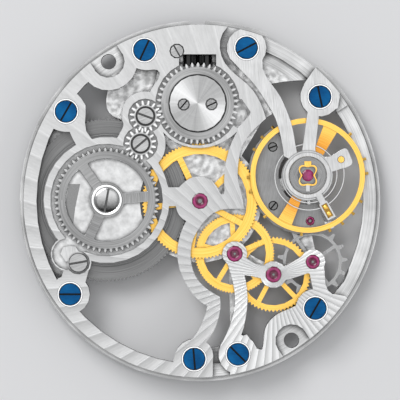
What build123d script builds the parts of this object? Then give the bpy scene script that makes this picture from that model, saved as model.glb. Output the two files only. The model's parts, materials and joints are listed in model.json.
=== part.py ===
from build123d import *
import math
import os

# A hand-wound skeletonised watch movement. Millimetres. The origin is the centre of the
# dial-side face of the main plate, +Z runs towards the bridges and +Y towards the winding stem.

# Overall size, and the photograph's scale and centre, which place every axis and outline
MOVEMENT_DIAMETER = 26.8
PHOTO_DIAMETER_PX = 362.4
PHOTO_CENTRE_PX = (200.0, 201.0)
MM_PER_PX = MOVEMENT_DIAMETER / PHOTO_DIAMETER_PX

# Axes of the going train, in pixels of the photograph
BARREL_AXIS_PX = (106.6, 200.0)
CENTRE_AXIS_PX = (200.0, 201.0)
THIRD_AXIS_PX = (234.7, 253.8)
FOURTH_AXIS_PX = (273.6, 274.6)
ESCAPE_AXIS_PX = (312.9, 261.9)
PALLET_AXIS_PX = (310.5, 221.0)
BALANCE_AXIS_PX = (307.8, 175.4)

# Axes of the winding work, in pixels
CROWN_AXIS_PX = (197.6, 103.3)
FIRST_TRANSFER_AXIS_PX = (145.4, 116.0)
SECOND_TRANSFER_AXIS_PX = (140.6, 143.7)
CLICK_AXIS_PX = (78.2, 262.6)
CROWN_SCREW_PX = [(183.7, 104.5), (211.5, 104.3)]
CROWN_SCREW_SLOT_ANGLES = (50, 25)

# Bridge screws, in pixels, each with the angle of its slot in degrees
MAIN_BRIDGE_SCREWS_PX = [(144.4, 50.0, 65), (66.0, 111.4, 60), (70.0, 294.3, 0), (194.2, 359.0, -85)]
BALANCE_BRIDGE_SCREWS_PX = [(246.6, 47.8, 28), (320.0, 96.7, -78)]
TRAIN_BRIDGE_SCREWS_PX = [(238.0, 354.4, -45), (315.4, 308.5, 60)]
PALLET_BRIDGE_SCREWS_PX = [(273.0, 146.8, 20), (273.5, 205.7, 50)]
SETTING_LEVER_SCREW_PX = (176.9, 51.0)
SETTING_LEVER_SLOT_ANGLE = -60

# Tooth and leaf counts
BARREL_TEETH = 132
CENTRE_PINION_LEAVES = 20
CENTRE_TEETH = 100
THIRD_PINION_LEAVES = 10
THIRD_TEETH = 84
FOURTH_PINION_LEAVES = 10
FOURTH_TEETH = 60
ESCAPE_PINION_LEAVES = 7
ESCAPE_TEETH = 15
RATCHET_TEETH = 55
TRANSFER_TEETH = 15
CROWN_TEETH = 42
WINDING_PINION_TEETH = 14
CANNON_LEAVES = 12
MINUTE_TEETH = 36
MINUTE_PINION_LEAVES = 10
HOUR_TEETH = 40
SETTING_TEETH = 20

# Tooth heights as shares of the module, and tooth forms as corners, each a share of one tooth
# pitch and a share of the tooth's height. Close-set teeth have two corners.
ADDENDUM_SHARE = 0.85
DEDENDUM_SHARE = 1.05
FINE_TOOTH_SHARES = [(0, 1), (0.5, 0)]
POINTED_TOOTH_SHARES = [(-0.42, 0), (0, 1), (0.42, 0)]
BROAD_TOOTH_SHARES = [(-0.38, 0), (-0.11, 1), (0.11, 1), (0.38, 0)]

# Flats that stand in for curves, so that a hundred small turned pieces stay light: how far a flat
# lies from its circle, the fewest sides, the radius from which circles are true, and the chords
# between two points of a smooth run
ROUND_ERROR = 0.026
FEWEST_SIDES = 8
TRUE_CIRCLE_RADIUS = 12.50
CHORDS_PER_SPAN = 2

# Clearances
RUNNING_FIT = 0.02
PIVOT_FIT = 0.01
WHEEL_GAP = 0.10
SIDE_GAP = 0.12
SEAT_GAP = 0.03
CUT_OVERRUN = 0.5

# Main plate
PLATE_FLANGE_HEIGHT = 0.60
PLATE_FLANGE_WIDTH = 0.35
PLATE_RIM_WIDTH = 0.95
PLATE_LOW_RIM_STEP = 0.28
PLATE_WEB_THICKNESS = 0.55
DIAL_RECESS_DEPTH = 0.42
PLATE_FLOOR_THICKNESS = 0.33
BARREL_FLOOR_THICKNESS = 0.20
BARREL_BOSS_RADIUS = 1.30
BARREL_SPOKE_WIDTH = 0.90
BARREL_SPOKE_ANGLES = (130, 180, 230)
BARREL_LEDGE_ANGLES = (115, 245)
BARREL_LEDGE_WIDTH = 1.72
BARREL_LEDGE_INSET = 0.05
PLATE_WEB_WIDTH = 0.95
PLATE_TO_THIRD_WIDTH = 1.05
PLATE_TO_PALLET_WIDTH = 1.14
BALANCE_TO_PALLET_WIDTH = 1.43
BALANCE_WEB_ANGLE = 200
STEM_AXIS_HEIGHT = 1.10
STEM_BORE_RADIUS = 0.40
STEM_NOTCH_WIDTH = 1.08
STEM_FLAT_DEPTH = 0.05
CLAMP_CIRCLE_DIAMETER = 24.70
CLAMP_ANGLES = (123.3, 303.3)
CLAMP_HOLE_RADIUS = 0.57
CLAMP_RECESS_RADIUS = 1.18
CLAMP_BOSS_RADIUS = 2.14
CENTRE_FLOOR_RADIUS = 4.58

# Blued bridge screws
SCREW_HEAD_RADIUS = 0.80
SCREW_HEAD_HEIGHT = 0.34
SCREW_PROUD = 0.03
SCREW_SHANK_RADIUS = 0.42
SCREW_DEPTH_IN_PLATE = 0.90
SCREW_SLOT_WIDTH = 0.16
SCREW_SLOT_DEPTH = 0.13
SCREW_BOSS_RADIUS = 1.46

# Small steel screws
SMALL_HEAD_HEIGHT = 0.18
CLICK_SCREW_RADIUS = 0.70
RATCHET_SCREW_RADIUS = 0.92
TRANSFER_SCREW_RADIUS = 0.64
CROWN_SCREW_RADIUS = 0.42
LEVER_SCREW_RADIUS = 0.50
RATCHET_SLOT_ANGLE = 80
CLICK_SLOT_ANGLE = 45
TRANSFER_SLOT_ANGLES = (-20, 35)
PALLET_SCREW_RADIUS = 0.32
SMALL_SHANK_RADIUS = 0.28

# Barrel and winding work
BARREL_FLANGE_WIDTH = 0.98
DRUM_WALL = 0.22
DRUM_BASE_THICKNESS = 0.15
DRUM_HEIGHT = 1.10
BARREL_TOOTH_RING_THICKNESS = 0.35
BARREL_COVER_THICKNESS = 0.12
BARREL_COVER_SHOULDER = 0.10
ARBOR_CORE_RADIUS = 1.15
ARBOR_UPPER_RADIUS = 0.90
ARBOR_LOWER_RADIUS = 0.50
ARBOR_SQUARE = 0.95
MAINSPRING_PACK_WIDTH = 1.20
MAINSPRING_BLADE = 0.14
MAINSPRING_LEAD_STEPS = 16
WINDING_WHEEL_THICKNESS = 0.32
RATCHET_HUB_RADIUS = 1.29
RATCHET_RIM_WIDTH = 0.61
RATCHET_SPOKE_WIDTH = 0.75
RATCHET_SPOKE_ANGLE = 5
RATCHET_SPOKES = 3
CROWN_BORE_RADIUS = 1.56
CROWN_CAP_RADIUS = 2.07
CROWN_CAP_THICKNESS = 0.20
CROWN_SCREW_HEAD_HEIGHT = 0.13
TRANSFER_BOSS_RADIUS = 1.74
TRANSFER_POST_RADIUS = 0.42
CLICK_THICKNESS = 0.26
CLICK_BODY_RADIUS = 0.82
CLICK_LOBE_RADIUS = 1.28
CLICK_LOBE_PX = (68.0, 254.0)
CLICK_NECK_PX = (72.0, 285.0)
CLICK_NECK_WIDTH = 1.80
CLICK_BOSS_RADIUS = 0.98
CLICK_BEAK_PX = [(79.0, 252.0), (75.2, 246.4), (68.5, 246.0), (62.8, 247.5), (60.5, 254.0), (66.0, 262.0)]
CLICK_SPRING_PX = [(63.5, 231.0), (65.0, 206.0), (69.0, 184.0), (80.0, 184.0), (75.0, 208.0), (72.0, 233.0)]
CLICK_SPRING_THICKNESS = 0.14
WINDING_PINION_RADIUS = 1.04
WINDING_PINION_ROOT_RADIUS = 0.84
WINDING_PINION_LENGTH = 0.85
WINDING_PINION_REACH = 0.55
WINDING_SLOT_WIDTH = 2.75
CLUTCH_RADIUS = 0.80
CLUTCH_ROOT_RADIUS = 0.66
CLUTCH_GROOVE_RADIUS = 0.56
CLUTCH_TRAVEL = 0.28
CLUTCH_LENGTH = 1.25
CLUTCH_GROOVE_LENGTH = 0.40
CLUTCH_TEETH = 12

# Keyless and motion work on the dial side
DIAL_WHEEL_THICKNESS = 0.15
DIAL_LEVER_THICKNESS = 0.33
DIAL_FACE_GAP = 0.05
MINUTE_CENTRE_DISTANCE = 2.40
MINUTE_POST_RADIUS = 0.30
SETTING_POST_RADIUS = 0.28
CANNON_PIPE_RADIUS = 0.62
CANNON_PIPE_LENGTH = 1.05
MINUTE_SEAT_RADIUS = 0.45
CENTRE_BORE_RADIUS = 0.30
HOUR_PIPE_RADIUS = 0.80
HOUR_PIPE_LENGTH = 0.60
YOKE_PIVOT_PX = (243.0, 84.0)
YOKE_POST_RADIUS = 0.26
YOKE_PX = [(243.0, 91.5), (226.0, 86.0), (207.0, 84.2), (201.0, 84.2), (201.0, 80.4), (210.0, 80.4), (228.0, 78.5),
           (243.0, 76.0)]
YOKE_EYE_RADIUS = 0.58
YOKE_SPRING_FOOT_PX = (233.0, 60.0)
YOKE_SPRING_PX = [(229.0, 62.0), (221.0, 68.0), (214.0, 76.0), (215.4, 77.4), (223.0, 70.5), (235.0, 66.0)]
YOKE_SPRING_FOOT_RADIUS = 0.42
KEYLESS_POCKET_PX = [(160.0, 36.0), (252.0, 96.0)]
SETTING_LEVER_PX = [(170.5, 47.0), (176.0, 42.0), (184.0, 44.5), (190.0, 52.0), (189.5, 57.5), (183.0, 57.0),
                    (172.0, 62.0), (168.5, 56.0)]
SETTING_LEVER_STUD_PX = (187.5, 54.6)
SETTING_LEVER_STUD_RADIUS = 0.14

# Going train
CENTRE_RIM_WIDTH = 0.66
CENTRE_WHEEL_THICKNESS = 0.18
CENTRE_SPOKE_WIDTH = 0.44
CENTRE_SPOKE_ANGLE = 115.5
THIRD_RIM_WIDTH = 0.51
THIRD_WHEEL_THICKNESS = 0.15
THIRD_SPOKE_WIDTH = 0.36
THIRD_SPOKE_ANGLE = 238.5
FOURTH_RIM_WIDTH = 0.33
FOURTH_WHEEL_THICKNESS = 0.13
FOURTH_SPOKE_WIDTH = 0.34
FOURTH_SPOKE_ANGLE = 241.8
TRAIN_SPOKES = 5
CENTRE_HUB_RADIUS = 1.20
TRAIN_HUB_RADIUS = 0.62
ESCAPE_TOOTH_HEIGHT = 0.42
ESCAPE_RIM_WIDTH = 0.22
ESCAPE_FLOOR_GAP = 0.15
ESCAPE_WHEEL_THICKNESS = 0.12
ESCAPE_SPOKE_WIDTH = 0.26
ESCAPE_SPOKES = 4
ESCAPE_SPOKE_ANGLE = 34.5
ESCAPE_TIP_ANGLE = 1.0
ESCAPE_HUB_RADIUS = 0.45
ESCAPE_TOOTH_SHARES = [(-0.10, 0.0), (0.02, 0.86), (0.06, 1.0), (0.22, 0.93), (0.20, 0.80), (0.32, 0.0)]
TRAIN_ARBOR_RADIUS = 0.17
TRAIN_PIVOT_RADIUS = 0.09
CENTRE_PIVOT_RADIUS = 0.16
PINION_COLLAR = 0.03

# Escapement and balance
FORK_THICKNESS = 0.16
FORK_ARM_WIDTH = 0.30
FORK_LEVER_WIDTH = 0.22
FORK_HORN_WIDTH = 0.70
FORK_HORN_LENGTH = 0.42
FORK_NOTCH_WIDTH = 0.27
FORK_NOTCH_DEPTH = 0.15
FORK_HUB_RADIUS = 0.34
PALLET_HALF_SPAN = 30
STONE_WIDTH = 0.20
STONE_LENGTH = 0.62
STONE_CLEARANCE = 0.02
STONE_PROUD = 0.20
STONE_HOLDER_RADIUS = 0.30
IMPULSE_PIN_RADIUS = 0.10
IMPULSE_PIN_ORBIT = 0.75
ROLLER_RADIUS = 0.95
ROLLER_THICKNESS = 0.10
BALANCE_RIM_OUTER_RADIUS = 4.25
BALANCE_RIM_WIDTH = 0.38
BALANCE_RIM_HEIGHT = 0.30
BALANCE_ARM_THICKNESS = 0.12
BALANCE_ARM_HUB_WIDTH = 0.40
BALANCE_ARM_RIM_WIDTH = 1.15
BALANCE_ARM_ANGLE = 64
BALANCE_HUB_RADIUS = 0.55
BALANCE_SCREW_RADIUS = 0.12
BALANCE_SCREW_PROUD = 0.26
BALANCE_SCREW_SIDES = 6
BALANCE_SCREW_OFFSETS = (20, 48, 62, 76, 90, 118, 132, 160)
STAFF_RADIUS = 0.22
STAFF_PIVOT_RADIUS = 0.06
COLLET_RADIUS = 0.55
COLLET_HEIGHT = 0.16
HAIRSPRING_TURNS = 4
HAIRSPRING_CHORDS = 9
HAIRSPRING_BLADE = 0.06
HAIRSPRING_HEIGHT = 0.10
STUD_PX = (341.1, 159.5)
STUD_RADIUS = 0.24
CURB_ANGLE = -61
CURB_PIN_RADIUS = 0.09
CURB_PIN_GAP = 0.05

# Jewels
JEWEL_RADIUS = 0.58
ESCAPE_JEWEL_RADIUS = 0.52
PALLET_JEWEL_RADIUS = 0.33
BALANCE_JEWEL_RADIUS = 0.44
JEWEL_THICKNESS = 0.24
PALLET_JEWEL_THICKNESS = 0.20
PALLET_BOSS_RADIUS = 0.66
SHOCK_BLOCK_RADIUS = 1.38
SHOCK_BLOCK_HEIGHT = 0.30
LOWER_SHOCK_BLOCK_RADIUS = 0.86
LOWER_SHOCK_BOSS_RADIUS = 1.12
SHOCK_SEAT_RADIUS = 0.74
SHOCK_SEAT_DEPTH = 0.12
SHOCK_SPRING_RADIUS = 0.68
SHOCK_SPRING_WIDTH = 0.10
SHOCK_SPRING_THICKNESS = 0.05
SHOCK_LOBE_SHARE = 0.16
SHOCK_LOBES = 4
CAP_JEWEL_THICKNESS = 0.08

# Bridges
MAIN_BRIDGE_THICKNESS = 0.90
TRAIN_BRIDGE_THICKNESS = 0.70
TRAIN_ARM_THICKNESS = 0.50
TRAIN_BOSS_RADIUS = 0.93
FOURTH_BOSS_RADIUS = 1.00
BALANCE_ARM_LEVEL_THICKNESS = 0.25
BALANCE_BRIDGE_HUB_RADIUS = 1.88
CENTRE_BRIDGE_HUB_RADIUS = 1.77
WINDING_RECESS_DEPTH = 0.50
RATCHET_RING_WIDTH = 0.52
RATCHET_RECESS_GAP = 0.20
CROWN_RECESS_GAP = 0.06
TRANSFER_RECESS_GAP = 0.11
PALLET_BRIDGE_THICKNESS = 0.30
PALLET_FOOT_RADIUS = 0.62
PALLET_BRIDGE_OUTER_RADIUS = 4.42
PALLET_BRIDGE_INNER_RADIUS = 2.14
PALLET_BRIDGE_ANGLES = (125, 290)
CARRIER_THICKNESS = 0.10
CARRIER_OUTER_RADIUS = 1.84
CARRIER_ARM_WIDTH = 0.86
STUD_EYE_RADIUS = 0.50
REGULATOR_OUTER_RADIUS = 1.70
REGULATOR_THICKNESS = 0.10
REGULATOR_ARM_WIDTH = 0.54
PLATE_FLANGE_CUT_ANGLES = (49, 68)
LOW_RIM_ANGLES = (-38, 33)
LOW_RIM_WIDTH = 2.16

# Outlines, in pixels of the photograph. Each is a chain of runs: a run of one point is a
# straight edge, a longer run is a smooth curve, and the last point closes on the first run.
RIGHT_OF_MAIN_BRIDGE_PX = [
    [(400.0, 400.0)],
    [(400.0, 0.0)],
    [(227.5, 0.0)],
    [(227.5, 27.0)],
    [(221.0, 37.0), (219.8, 48.5), (223.6, 61.0), (238.0, 76.5), (251.0, 88.0), (260.0, 102.0), (266.0, 118.6)],
    [(251.0, 132.7), (243.0, 144.0), (238.3, 163.0), (237.6, 176.0), (240.2, 189.0), (244.0, 208.8)],
    [(225.7, 208.8)],
    [(214.2, 212.6), (206.5, 218.7), (198.9, 228.6), (193.6, 238.0), (190.9, 248.6), (191.8, 266.4),
     (197.1, 278.9), (207.9, 289.6), (220.0, 297.0)],
    [(220.5, 305.0), (217.4, 322.0), (212.8, 332.8), (206.3, 342.0)],
    [(211.6, 348.5), (212.8, 360.3)],
    [(212.8, 400.0)],
]
CENTRE_WINDOW_PX = [
    [(165.2, 139.9), (164.8, 150.6), (158.3, 162.8)],
    [(162.9, 171.3), (167.9, 187.3)],
    [(179.0, 187.3)],
    [(186.6, 180.4), (193.5, 177.0), (203.5, 177.0), (211.1, 180.4), (217.2, 187.3), (220.3, 193.5)],
    [(222.6, 194.6), (224.5, 191.0)],
    [(225.3, 165.9), (228.7, 150.6), (237.1, 131.5)],
    [(228.0, 139.0), (213.0, 146.0), (197.0, 148.0), (178.0, 143.5), (163.0, 132.0)],
]
LOWER_LEFT_WINDOW_PX = [
    [(175.9, 206.1)],
    [(179.0, 214.9), (186.2, 221.0)],
    [(182.0, 229.5), (178.4, 242.0), (177.5, 257.5), (181.1, 273.6), (186.4, 284.3), (193.6, 295.0), (207.3, 306.0)],
    [(205.2, 314.4), (199.8, 327.4), (192.2, 338.9), (181.5, 344.3)],
    [(176.1, 351.2), (173.4, 366.0)],
    [(95.0, 366.0)],
    [(30.0, 300.0)],
    [(60.0, 262.0)],
    [(106.6, 200.0)],
    [(168.3, 206.1)],
]
UPPER_LEFT_WINDOW_PX = [
    [(76.0, 93.5), (83.7, 101.0), (85.0, 120.0), (91.2, 138.3)],
    [(106.6, 150.0)],
    [(116.8, 138.3), (123.3, 126.0), (122.2, 111.8)],
    [(128.3, 98.0), (138.3, 92.3), (150.1, 91.9)],
    [(153.6, 85.8), (158.9, 77.4), (159.7, 72.8), (153.6, 69.4)],
    [(145.9, 70.1), (136.7, 68.2)],
    [(107.9, 60.5)],
    [(87.2, 81.6)],
]
LEFT_WINDOW_PX = [
    [(71.5, 136.0), (76.0, 144.5)],
    [(106.6, 200.0)],
    [(66.0, 273.5)],
    [(56.0, 278.8)],
    [(20.0, 300.0)],
    [(20.0, 150.0)],
    [(52.1, 128.0)],
    [(60.0, 131.0), (69.7, 131.8)],
]
CROWN_NOTCH_PX = [
    [(241.7, 99.2)],
    [(250.5, 111.8)],
    [(249.7, 115.0)],
    [(237.5, 128.0)],
    [(225.0, 120.0)],
    [(230.0, 97.3)],
]
BALANCE_LEFT_ARM_PX = [
    [(227.5, 43.0), (229.0, 54.0), (233.7, 62.0), (255.0, 85.0), (265.0, 100.0), (273.5, 114.0), (279.0, 129.0),
     (284.0, 156.0)],
    [(300.0, 165.0)],
    [(294.5, 139.0), (290.3, 120.2), (286.5, 110.3), (280.3, 96.5), (271.0, 83.5), (263.0, 70.0), (266.0, 52.0)],
    [(246.6, 47.8)],
]
BALANCE_RIGHT_ARM_PX = [
    [(303.3, 143.5)],
    [(300.0, 165.0)],
    [(316.6, 165.0)],
    [(315.2, 148.0)],
    [(318.7, 117.5)],
    [(320.0, 96.7)],
    [(308.5, 106.0)],
]
BALANCE_HEAD_PX = [
    [(332.0, 78.0)],
    [(340.0, 90.0)],
    [(338.0, 108.0)],
    [(320.0, 116.0)],
    [(302.0, 104.0)],
    [(304.0, 84.0)],
    [(316.5, 66.0)],
]
TRAIN_ZIGZAG_PX = [
    [(255.7, 263.6), (265.5, 265.8)],
    [(281.0, 267.6)],
    [(295.9, 260.0), (303.9, 254.6)],
    [(321.0, 258.0)],
    [(325.0, 279.6), (327.0, 288.6), (333.4, 294.8)],
    [(318.0, 305.0)],
    [(312.4, 286.8), (309.6, 272.5)],
    [(296.8, 277.0), (284.3, 280.5)],
    [(273.0, 282.0)],
    [(254.8, 277.0), (244.6, 275.2)],
    [(246.9, 288.0), (247.3, 306.8), (245.0, 322.0), (241.9, 333.6), (238.0, 340.0)],
    [(220.0, 346.0)],
    [(226.6, 333.6), (232.0, 318.3), (234.3, 307.0), (234.7, 294.8), (232.5, 281.4), (227.0, 262.0)],
    [(236.0, 246.0)],
    [(246.8, 258.2)],
]
TRAIN_FOOT_PX = [
    [(252.6, 343.5), (258.0, 350.4), (262.0, 350.0)],
    [(263.7, 341.0), (265.6, 327.4), (268.7, 322.0), (277.1, 314.4), (287.0, 309.8)],
    [(300.0, 304.0)],
    [(334.0, 294.0)],
    [(345.0, 296.0)],
    [(380.0, 330.0)],
    [(300.0, 400.0)],
    [(230.0, 400.0)],
    [(230.0, 350.0)],
]
PLATE_SHOULDER_PX = [
    [(217.0, 56.0)],
    [(229.0, 73.0), (252.0, 95.0), (264.5, 118.6)],
    [(272.0, 114.0)],
    [(272.0, 96.0), (264.0, 80.0), (256.0, 66.0)],
    [(262.0, 45.0)],
    [(262.0, 24.0)],
    [(215.0, 24.0)],
]
PLATE_UPPER_RIGHT_PX = [
    [(307.9, 79.7)],
    [(290.0, 80.5), (271.0, 83.5)],
    [(262.0, 78.0)],
    [(255.0, 60.0)],
    [(262.0, 40.0)],
    [(300.0, 58.0)],
]
PLATE_WEB_UNDER_TRANSFER_PX = [
    [(108.0, 88.0)],
    [(106.0, 97.0), (106.0, 106.0), (113.0, 116.0)],
    [(128.0, 122.0)],
    [(160.0, 122.0)],
    [(168.0, 90.0)],
    [(168.0, 40.0)],
    [(110.0, 40.0)],
]
PLATE_KEYLESS_FLOOR_PX = [
    [(232.0, 60.0)],
    [(256.0, 95.0)],
    [(263.0, 120.0)],
    [(245.0, 150.0)],
    [(222.0, 190.0)],
    [(185.0, 200.0)],
    [(152.0, 175.0)],
    [(150.0, 100.0)],
    [(160.0, 60.0)],
]
PLATE_STEM_BLOCK_PX = [
    [(230.0, 62.0)],
    [(230.0, 30.0)],
    [(164.0, 30.0)],
    [(164.0, 62.0)],
]
PLATE_TO_THIRD_PX = [(222.0, 214.0), (234.0, 246.0)]
PLATE_TO_PALLET_PX = [(309.0, 256.0), (303.0, 228.0)]
SMALL_PLATE_TRIANGLE_PX = [
    [(226.0, 346.0)],
    [(228.0, 370.0)],
    [(204.0, 370.0)],
    [(212.0, 348.0)],
]

# Heights, worked out from the dial face upwards
WEB_TOP = PLATE_WEB_THICKNESS
FLOOR_TOP = DIAL_RECESS_DEPTH + PLATE_FLOOR_THICKNESS
ESCAPE_BOTTOM = WEB_TOP + ESCAPE_FLOOR_GAP
ESCAPE_TOP = ESCAPE_BOTTOM + ESCAPE_WHEEL_THICKNESS
FORK_BOTTOM = ESCAPE_BOTTOM - (FORK_THICKNESS - ESCAPE_WHEEL_THICKNESS) / 2
FORK_TOP = FORK_BOTTOM + FORK_THICKNESS
FOURTH_BOTTOM = ESCAPE_TOP + SIDE_GAP
FOURTH_TOP = FOURTH_BOTTOM + FOURTH_WHEEL_THICKNESS
THIRD_BOTTOM = FOURTH_TOP + SIDE_GAP
THIRD_TOP = THIRD_BOTTOM + THIRD_WHEEL_THICKNESS
CENTRE_BOTTOM = THIRD_TOP + WHEEL_GAP
CENTRE_TOP = CENTRE_BOTTOM + CENTRE_WHEEL_THICKNESS
BRIDGE_SEAT = CENTRE_TOP - SEAT_GAP
LOW_RIM_TOP = BRIDGE_SEAT - PLATE_LOW_RIM_STEP
BRIDGE_TOP = BRIDGE_SEAT + MAIN_BRIDGE_THICKNESS
BRIDGE_POCKET_TOP = CENTRE_TOP + SIDE_GAP
RECESS_FLOOR = BRIDGE_TOP - WINDING_RECESS_DEPTH
WINDING_BOTTOM = RECESS_FLOOR + SEAT_GAP
WINDING_TOP = WINDING_BOTTOM + WINDING_WHEEL_THICKNESS
CROWN_CAP_TOP = WINDING_TOP + PIVOT_FIT + CROWN_CAP_THICKNESS
TRAIN_TOP = BRIDGE_SEAT + TRAIN_BRIDGE_THICKNESS
TRAIN_ARM_BOTTOM = TRAIN_TOP - TRAIN_ARM_THICKNESS
DRUM_BOTTOM = BARREL_FLOOR_THICKNESS + SEAT_GAP
DRUM_TOP = DRUM_BOTTOM + DRUM_HEIGHT
BARREL_TEETH_TOP = DRUM_TOP - BARREL_COVER_THICKNESS - SEAT_GAP
BARREL_TEETH_BOTTOM = BARREL_TEETH_TOP - BARREL_TOOTH_RING_THICKNESS
CENTRE_PINION_BOTTOM = BARREL_TEETH_BOTTOM - SEAT_GAP
CENTRE_PINION_TOP = CENTRE_BOTTOM
PALLET_BRIDGE_BOTTOM = FORK_TOP + 2 * WHEEL_GAP
PALLET_BRIDGE_TOP = PALLET_BRIDGE_BOTTOM + PALLET_BRIDGE_THICKNESS
BALANCE_RIM_BOTTOM = CENTRE_TOP + SIDE_GAP
BALANCE_RIM_TOP = BALANCE_RIM_BOTTOM + BALANCE_RIM_HEIGHT
BALANCE_ARM_BOTTOM = BALANCE_RIM_BOTTOM + (BALANCE_RIM_HEIGHT - BALANCE_ARM_THICKNESS) / 2
HAIRSPRING_BOTTOM = BALANCE_RIM_TOP + SEAT_GAP
HAIRSPRING_TOP = HAIRSPRING_BOTTOM + HAIRSPRING_HEIGHT
BALANCE_BRIDGE_BOTTOM = BRIDGE_TOP - BALANCE_ARM_LEVEL_THICKNESS
CARRIER_BOTTOM = BRIDGE_TOP + PIVOT_FIT
CARRIER_TOP = CARRIER_BOTTOM + CARRIER_THICKNESS
REGULATOR_BOTTOM = CARRIER_TOP + PIVOT_FIT
REGULATOR_TOP = REGULATOR_BOTTOM + REGULATOR_THICKNESS
ROLLER_BOTTOM = FORK_TOP + WHEEL_GAP
ROLLER_TOP = ROLLER_BOTTOM + ROLLER_THICKNESS
DIAL_WHEEL_LOW = DIAL_FACE_GAP
DIAL_WHEEL_LOW_TOP = DIAL_WHEEL_LOW + DIAL_WHEEL_THICKNESS
DIAL_WHEEL_HIGH = DIAL_WHEEL_LOW_TOP + PINION_COLLAR
DIAL_WHEEL_HIGH_TOP = DIAL_WHEEL_HIGH + DIAL_WHEEL_THICKNESS
DIAL_LEVER_TOP = DIAL_FACE_GAP + DIAL_LEVER_THICKNESS

# Radii of the plate's rim, from its flange inwards
PLATE_RADIUS = MOVEMENT_DIAMETER / 2
RIM_OUTER_RADIUS = PLATE_RADIUS - PLATE_FLANGE_WIDTH
RIM_INNER_RADIUS = RIM_OUTER_RADIUS - PLATE_RIM_WIDTH


def at(point):
    """Place on the movement, in millimetres, of a point of the photograph."""
    across = (point[0] - PHOTO_CENTRE_PX[0]) * MM_PER_PX
    along = (PHOTO_CENTRE_PX[1] - point[1]) * MM_PER_PX
    return across, along


def distance(first, second):
    (x1, y1), (x2, y2) = at(first), at(second)
    return math.hypot(x2 - x1, y2 - y1)


def bearing(first, second):
    (x1, y1), (x2, y2) = at(first), at(second)
    return math.degrees(math.atan2(y2 - y1, x2 - x1))


def toward(centre, angle, radius):
    """The point at a radius and an angle in degrees from a centre in millimetres."""
    turn = math.radians(angle)
    return centre[0] + radius * math.cos(turn), centre[1] + radius * math.sin(turn)


def true_disc(centre, radius):
    return Pos(centre[0], centre[1]) * Circle(radius)


def sides(radius):
    """How many flats keep a small round form close to its circle."""
    return max(FEWEST_SIDES, math.ceil(math.pi / math.acos(1 - ROUND_ERROR / radius)))


def disc(centre, radius):
    """A solid round face: its corners lie on the circle where it is small enough for flats."""
    if radius >= TRUE_CIRCLE_RADIUS:
        return true_disc(centre, radius)
    return Pos(centre[0], centre[1]) * RegularPolygon(radius, sides(radius))


def disc_at(point, radius):
    return disc(at(point), radius)


def opening(centre, radius):
    """A round hole: its flats touch the circle from outside, so a disc of that radius fits it."""
    if radius >= TRUE_CIRCLE_RADIUS:
        return true_disc(centre, radius)
    return Pos(centre[0], centre[1]) * RegularPolygon(radius, sides(radius), major_radius=False)


def openings(places, radius):
    face = opening(places[0], radius)
    for place in places[1:]:
        face += opening(place, radius)
    return face


def ring(centre, outer, inner):
    return disc(centre, outer) - opening(centre, inner)


def chords(points):
    """Points along the smooth curve through the given ones, without the first."""
    curve = Spline(*points)
    count = CHORDS_PER_SPAN * (len(points) - 1)
    places = [curve @ (i / count) for i in range(1, count + 1)]
    return [(place.X, place.Y) for place in places]


def patch(runs):
    """A flat face bounded by a closed chain of runs in pixels, curved runs taken in short chords."""
    corners = []
    start = runs[-1][-1]
    for run in runs:
        points = [at(p) for p in [start] + run]
        corners += points[1:] if len(points) == 2 else chords(points)
        start = run[-1]
    return make_face(Polyline(*corners, close=True))


def polygon(points):
    """A flat face with straight edges between points in pixels."""
    return make_face(Polyline(*[at(p) for p in points], close=True))


def bar(start, end, width):
    """A straight strip between two places in millimetres."""
    length = math.hypot(end[0] - start[0], end[1] - start[1])
    angle = math.degrees(math.atan2(end[1] - start[1], end[0] - start[0]))
    middle = ((start[0] + end[0]) / 2, (start[1] + end[1]) / 2)
    return Pos(middle[0], middle[1]) * Rot(0, 0, angle) * Rectangle(length, width)


def sector(centre, radius, first, last):
    """A pie slice, used to cut or keep part of a ring."""
    reach = 2 * radius
    steps = [first + (last - first) * share for share in (0, 0.25, 0.5, 0.75, 1)]
    corners = [centre] + [toward(centre, angle, reach) for angle in steps]
    return make_face(Polyline(*corners, close=True))


def slab(face, bottom, top):
    return Pos(0, 0, bottom) * extrude(face, amount=top - bottom, dir=(0, 0, 1))


def rod(centre, radius, bottom, top):
    return slab(disc(centre, radius), bottom, top)


def bore(centre, radius, bottom, top):
    """The round space that is cut for a rod of that radius."""
    return slab(opening(centre, radius), bottom, top)


def spoke_windows(centre, hub, rim, count, angle, width):
    """Wires of the openings between the spokes of a wheel."""
    open_ring = ring(centre, rim, hub)
    for i in range(count):
        open_ring -= bar(centre, toward(centre, angle + i * 360 / count, rim + width), width)
    return [face.outer_wire() for face in open_ring.faces()]


def tip_radius(module, teeth):
    return module * (teeth / 2 + ADDENDUM_SHARE)


def root_radius(module, teeth):
    return module * (teeth / 2 - DEDENDUM_SHARE)


def toothed_outline(centre, teeth, tip, root, phase, form):
    """A closed wire round a wheel, its corners set by a table of shares."""
    pitch = 360 / teeth
    corners = [toward(centre, phase + (i + along) * pitch, root + up * (tip - root))
               for i in range(teeth) for along, up in form]
    return Wire.make_polygon([(x, y, 0) for x, y in corners])


def gear(centre, teeth, module, phase, bottom, top, windows=(), form=POINTED_TOOTH_SHARES):
    outline = toothed_outline(centre, teeth, tip_radius(module, teeth), root_radius(module, teeth), phase, form)
    return slab(Face(outline, list(windows)), bottom, top)


def bore_wire(centre, radius):
    return opening(centre, radius).face().outer_wire()


def mesh_module(first, second, first_teeth, second_teeth):
    """The module that makes two gears on fixed axes meet."""
    return 2 * distance(first, second) / (first_teeth + second_teeth)


def meshed_phase(line, teeth, phase, next_teeth):
    """Tooth angle of a gear that meshes with one already placed, along a bearing from it."""
    share = ((line - phase) * teeth / 360) % 1
    return line + 180 - (0.5 - share) * 360 / next_teeth


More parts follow.
